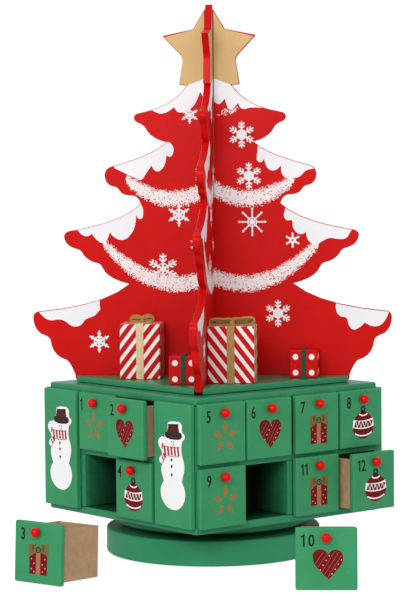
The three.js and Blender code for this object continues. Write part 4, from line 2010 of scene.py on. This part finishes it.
@dataclass(frozen=True)
class Bow:
    """A bow of two loops and two tails of ribbon round a knot, in millimetres."""

    width: float
    depth: float
    height: float
    lift: float = 0.7
    ribbon: float = 0.42
    thick: float = 0.4
    sides: tuple[tuple[int, float, float], ...] = ((1, 10, -7), (-1, -8, 3))
    tail_swing: float = 38.0
    knot_half: float = 1.7
    knot_depth: float = 0.36
    knot_height: float = 0.62
    knot_sink: float = 0.5
    knot_round: float = 0.9
    knot_round_share: float = 0.28

    def strip(self, points: Sequence[Point], closed: bool, place: Matrix) -> Piece:
        """A strip of ribbon on its edge.

        Args:
            points: Where it runs, to the right and up.
            closed: Whether it is a loop.
            place: Where it goes.

        Returns:
            The strip.
        """
        curve = bpy.data.curves.new("bow_ribbon", "CURVE")
        curve.dimensions, curve.resolution_u = "3D", 6
        curve.extrude = self.depth * self.ribbon * MM
        add_spline(curve, [(x * MM, 0, z * MM) for x, z in points], (), closed)
        strip = curve_mesh("bow_ribbon", curve)
        strip.data.transform(place)
        apply_modifier(strip, "SOLIDIFY", thickness=self.thick * MM, offset=0.0)
        smooth(strip, 60)
        return dress(strip, JUTE_BOW)

    def build(self, block: float) -> list[Piece]:
        """Ties the bow.

        Args:
            block: The height of the block that it lies on.

        Returns:
            The bow's pieces.
        """
        w, d, h = self.width, self.depth, self.height
        loop = (
            (0.6, 0.9), (w * 0.22, h * 0.95), (w * 0.46, h * 0.8),
            (w * 0.5, h * 0.35), (w * 0.34, 0.3), (w * 0.12, 0.4),
        )
        tail = ((0.8, 0.6), (w * 0.16, 1.6), (w * 0.32, 0.5))
        top = block + self.lift
        pieces = []
        for side, lean, tilt in self.sides:
            place = shift(0, 0, top) @ turned(lean * side) @ turned(tilt, "Y")
            pieces.append(self.strip([(side * x, z) for x, z in loop], True, place))
            place = shift(0, 0, top) @ turned((self.tail_swing - lean) * side)
            pieces.append(self.strip([(side * x, z) for x, z in tail], False, place))
        low = Vector((-self.knot_half, -d * self.knot_depth, top - self.knot_sink)) * MM
        high = Vector((self.knot_half, d * self.knot_depth, top + h * self.knot_height)) * MM
        knot = box("bow_knot", low, high, min(self.knot_round, d * self.knot_round_share))
        return [*pieces, dress(knot, JUTE_BOW)]


@dataclass(frozen=True)
class Gift:
    """One gift block, in the tree's frame, in millimetres."""

    name: str
    across: float
    front: float
    width: float
    depth: float
    height: float
    ribbon: float
    paint: Paint
    tape: Ribbon
    bow: Bow | None = None
    crossed: bool = False


@dataclass
class Gifts:
    """The four gift blocks on the step board, in millimetres."""

    stand: float = 125.9
    edge: float = 0.8
    tape_t: float = 0.45
    tape_clear: float = 0.02
    tape_over: float = 0.3
    tape_bend: float = 0.8
    spot: float = 2.0
    spot_places: tuple[Point, ...] = ((-5.7, 3.9), (-5.7, 15.1), (5.7, 3.9), (5.7, 15.1))
    turn: Matrix = field(default_factory=lambda: turned(-45))
    rows: tuple[Gift, ...] = (
        Gift(
            "gift_large_left", -48.2, 31.5, 28.7, 28, 39, 5.2,
            StripedPaint("left_stripes", srgb(192, 14, 12), shine=0.12, start_mm=0.25),
            JUTE, Bow(14, 4.6, 3.2),
        ),
        Gift("gift_small_left", -12.9, 73.5, 20, 20, 20, 3.4, RED_PAINT, PINE),
        Gift(
            "gift_large_right", 19.2, 63.3, 32.6, 28, 39.6, 5.2,
            StripedPaint("right_stripes", srgb(192, 14, 12), shine=0.12, lean=-1.3, start_mm=8.4),
            WORN_JUTE, Bow(28, 6.0, 1.5), True,
        ),
        Gift("gift_small_right", 67.5, 23.4, 20, 20, 20, 3.4, RED_PAINT, PINE),
    )

    def tape(self, gift: Gift, crosswise: bool) -> Piece:
        """A ribbon up one side of a block, over its top and down the other.

        Args:
            gift: The gift.
            crosswise: Whether it runs left to right instead of front to back.

        Returns:
            The ribbon, round a block that stands on the origin.
        """
        size = Vector((gift.ribbon, gift.depth + 2 * self.tape_clear, gift.height + self.tape_clear)) * MM
        if crosswise:
            size = Vector((gift.width + 2 * self.tape_clear, gift.ribbon, gift.height + self.tape_over)) * MM
        bpy.ops.mesh.primitive_cube_add(size=1, location=(0, 0, size.z / 2), scale=size)
        piece = fresh("ribbon")
        axis = 1 if crosswise else 0
        with editing(piece, lambda centre, normal: normal.z < -0.5 or abs(normal[axis]) > 0.5):
            bpy.ops.mesh.delete(type="FACE")
        ease(piece, self.tape_bend)
        apply_modifier(piece, "SOLIDIFY", thickness=self.tape_t * MM, offset=1.0)
        smooth(piece)
        return dress(piece, gift.tape)

    def spots(self, gift: Gift) -> list[Piece]:
        """White spots printed on the four sides of a small block.

        Args:
            gift: The gift.

        Returns:
            The four prints, round a block that stands on the origin.
        """
        pattern = flat("spots", [round_spot(x, z, self.spot) for x, z in self.spot_places], WHITE)
        out = shift(0, -gift.depth / 2, 0)
        spots = [copy_of(pattern, f"spots_{i}", turned(90 * i) @ out) for i in range(4)]
        drop(pattern)
        return spots

    def build(self) -> None:
        """Builds and dresses the gifts."""
        for gift in self.rows:
            low = Vector((-gift.width / 2, -gift.depth / 2, 0)) * MM
            high = Vector((gift.width / 2, gift.depth / 2, gift.height)) * MM
            block = dress(box(f"{gift.name}_block", low, high, self.edge), gift.paint)
            trim = [self.tape(gift, False)]
            trim += gift.bow.build(gift.height) if gift.bow else []
            trim += [self.tape(gift, True)] if gift.crossed else []
            trim += [] if gift.bow else self.spots(gift)
            trim = joined(f"{gift.name}_trim", trim)
            where = self.turn @ shift(gift.across, -gift.front + gift.depth / 2, self.stand)
            for piece in (block, trim):
                piece.data.transform(where)
            settle(block, "cabinet", Slot.GIFT, gift.name)
            settle(trim, "cabinet", Slot.GIFT)


# Studio


@dataclass
class Studio:
    """The camera, the lights and the pale floor.

    A lamp's row gives its azimuth, elevation, distance, size and power.
    """

    azimuth: float = -39.437
    elevation: float = 3.3643
    distance: float = 1.5688
    aside: float = -0.00416
    height: float = 0.1802
    roll: float = -0.4839
    focal_px: float = 2176.46
    frame_px: float = 600.0
    sensor_mm: float = 36.0
    surround: float = 0.7
    reflected: float = 0.5
    floor_size: float = 24.0
    floor_drop: float = 0.0004
    floor_tone: float = 0.3
    floor_glow: float = 0.86
    floor_roughness: float = 0.9
    lamp_aim: float = 0.2
    lamps: tuple[tuple[float, float, float, float, float], ...] = (
        (-54.0, 20.0, 1.6, 0.5, 8.0),
        (-88.0, 24.0, 1.6, 0.7, 3.5),
        (-6.0, 26.0, 1.6, 0.7, 2.5),
        (140.0, 40.0, 1.8, 1.2, 6.0),
    )

    def build(self) -> None:
        """Makes the camera, lights, world and floor."""
        self.camera()
        for i, (azimuth, elevation, distance, size, power) in enumerate(self.lamps):
            data = bpy.data.lights.new(f"softbox_{i}", "AREA")
            data.shape, data.size, data.energy = "SQUARE", size, power
            lamp = linked(data.name, data)
            back = self.direction(azimuth, elevation)
            lamp.location = back * distance + Vector((0, 0, self.lamp_aim))
            lamp.rotation_mode = "QUATERNION"
            lamp.rotation_quaternion = back.to_track_quat("Z", "Y")
        self.world()
        self.floor()

    @staticmethod
    def direction(azimuth: float, elevation: float) -> Vector:
        """Unit vector towards a place round the object, 0 degrees being in front."""
        a, e = math.radians(azimuth), math.radians(elevation)
        return Vector((math.sin(a) * math.cos(e), -math.cos(a) * math.cos(e), math.sin(e)))

    def camera(self) -> None:
        """Makes the camera where the photograph was taken from."""
        back = self.direction(self.azimuth, self.elevation)
        a = math.radians(self.azimuth)
        right = Vector((math.cos(a), math.sin(a), 0))
        up = back.cross(right)
        target = Vector((0, 0, self.height)) + right * self.aside
        r = math.radians(self.roll)
        x_axis, y_axis = right * math.cos(r) + up * math.sin(r), -right * math.sin(r) + up * math.cos(r)
        data = bpy.data.cameras.new("camera")
        data.sensor_width = self.sensor_mm
        data.lens = self.focal_px * self.sensor_mm / self.frame_px
        data.clip_start, data.clip_end = 0.05, 50
        camera = linked("camera", data)
        turn = Matrix((x_axis, y_axis, back)).transposed()
        camera.matrix_world = Matrix.Translation(target + back * self.distance) @ turn.to_4x4()
        bpy.context.scene.camera = camera

    def world(self) -> None:
        """A pale studio all round, brighter where the camera sees it as backdrop."""
        world = bpy.data.worlds.new("studio")
        bpy.context.scene.world = world
        world.use_nodes = True
        nodes, links = world.node_tree.nodes, world.node_tree.links
        nodes.clear()
        output = nodes.new("ShaderNodeOutputWorld")
        path = nodes.new("ShaderNodeLightPath")
        last = nodes.new("ShaderNodeBackground")
        last.inputs[1].default_value = self.surround
        for ray, strength in (("Is Glossy Ray", self.reflected), ("Is Camera Ray", 1.0)):
            background = nodes.new("ShaderNodeBackground")
            background.inputs[1].default_value = strength
            mix = nodes.new("ShaderNodeMixShader")
            links.new(path.outputs[ray], mix.inputs[0])
            links.new(last.outputs[0], mix.inputs[1])
            links.new(background.outputs[0], mix.inputs[2])
            last = mix
        links.new(last.outputs[0], output.inputs[0])
        for node in nodes:
            if node.type == "BACKGROUND":
                node.inputs[0].default_value = (1, 1, 1, 1)
        bpy.context.scene.view_settings.view_transform = "Standard"

    def floor(self) -> None:
        """A wide pale floor that glows a little, as a lit white sweep does."""
        bpy.ops.mesh.primitive_plane_add(size=self.floor_size, location=(0, 0, -self.floor_drop))
        floor = bpy.context.active_object
        floor.name = "floor"
        graph = Graph("pale_floor")
        graph.surface(Base_Color=(self.floor_tone,) * 3, Roughness=self.floor_roughness)
        graph.surface(Emission_Color=(1, 1, 1), Emission_Strength=self.floor_glow)
        floor.data.materials.append(graph.material)
        floor.visible_diffuse = floor.visible_glossy = False


def main() -> None:
    """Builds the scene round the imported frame, piece by piece."""
    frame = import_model()
    nodes = frame["nodes"]
    Studio().build()
    Stand().build(nodes)
    Cabinet().build(nodes)
    Panels().build()
    Drawers().build()
    Tree().build(nodes)
    Gifts().build()


if __name__ == "__main__":
    main()
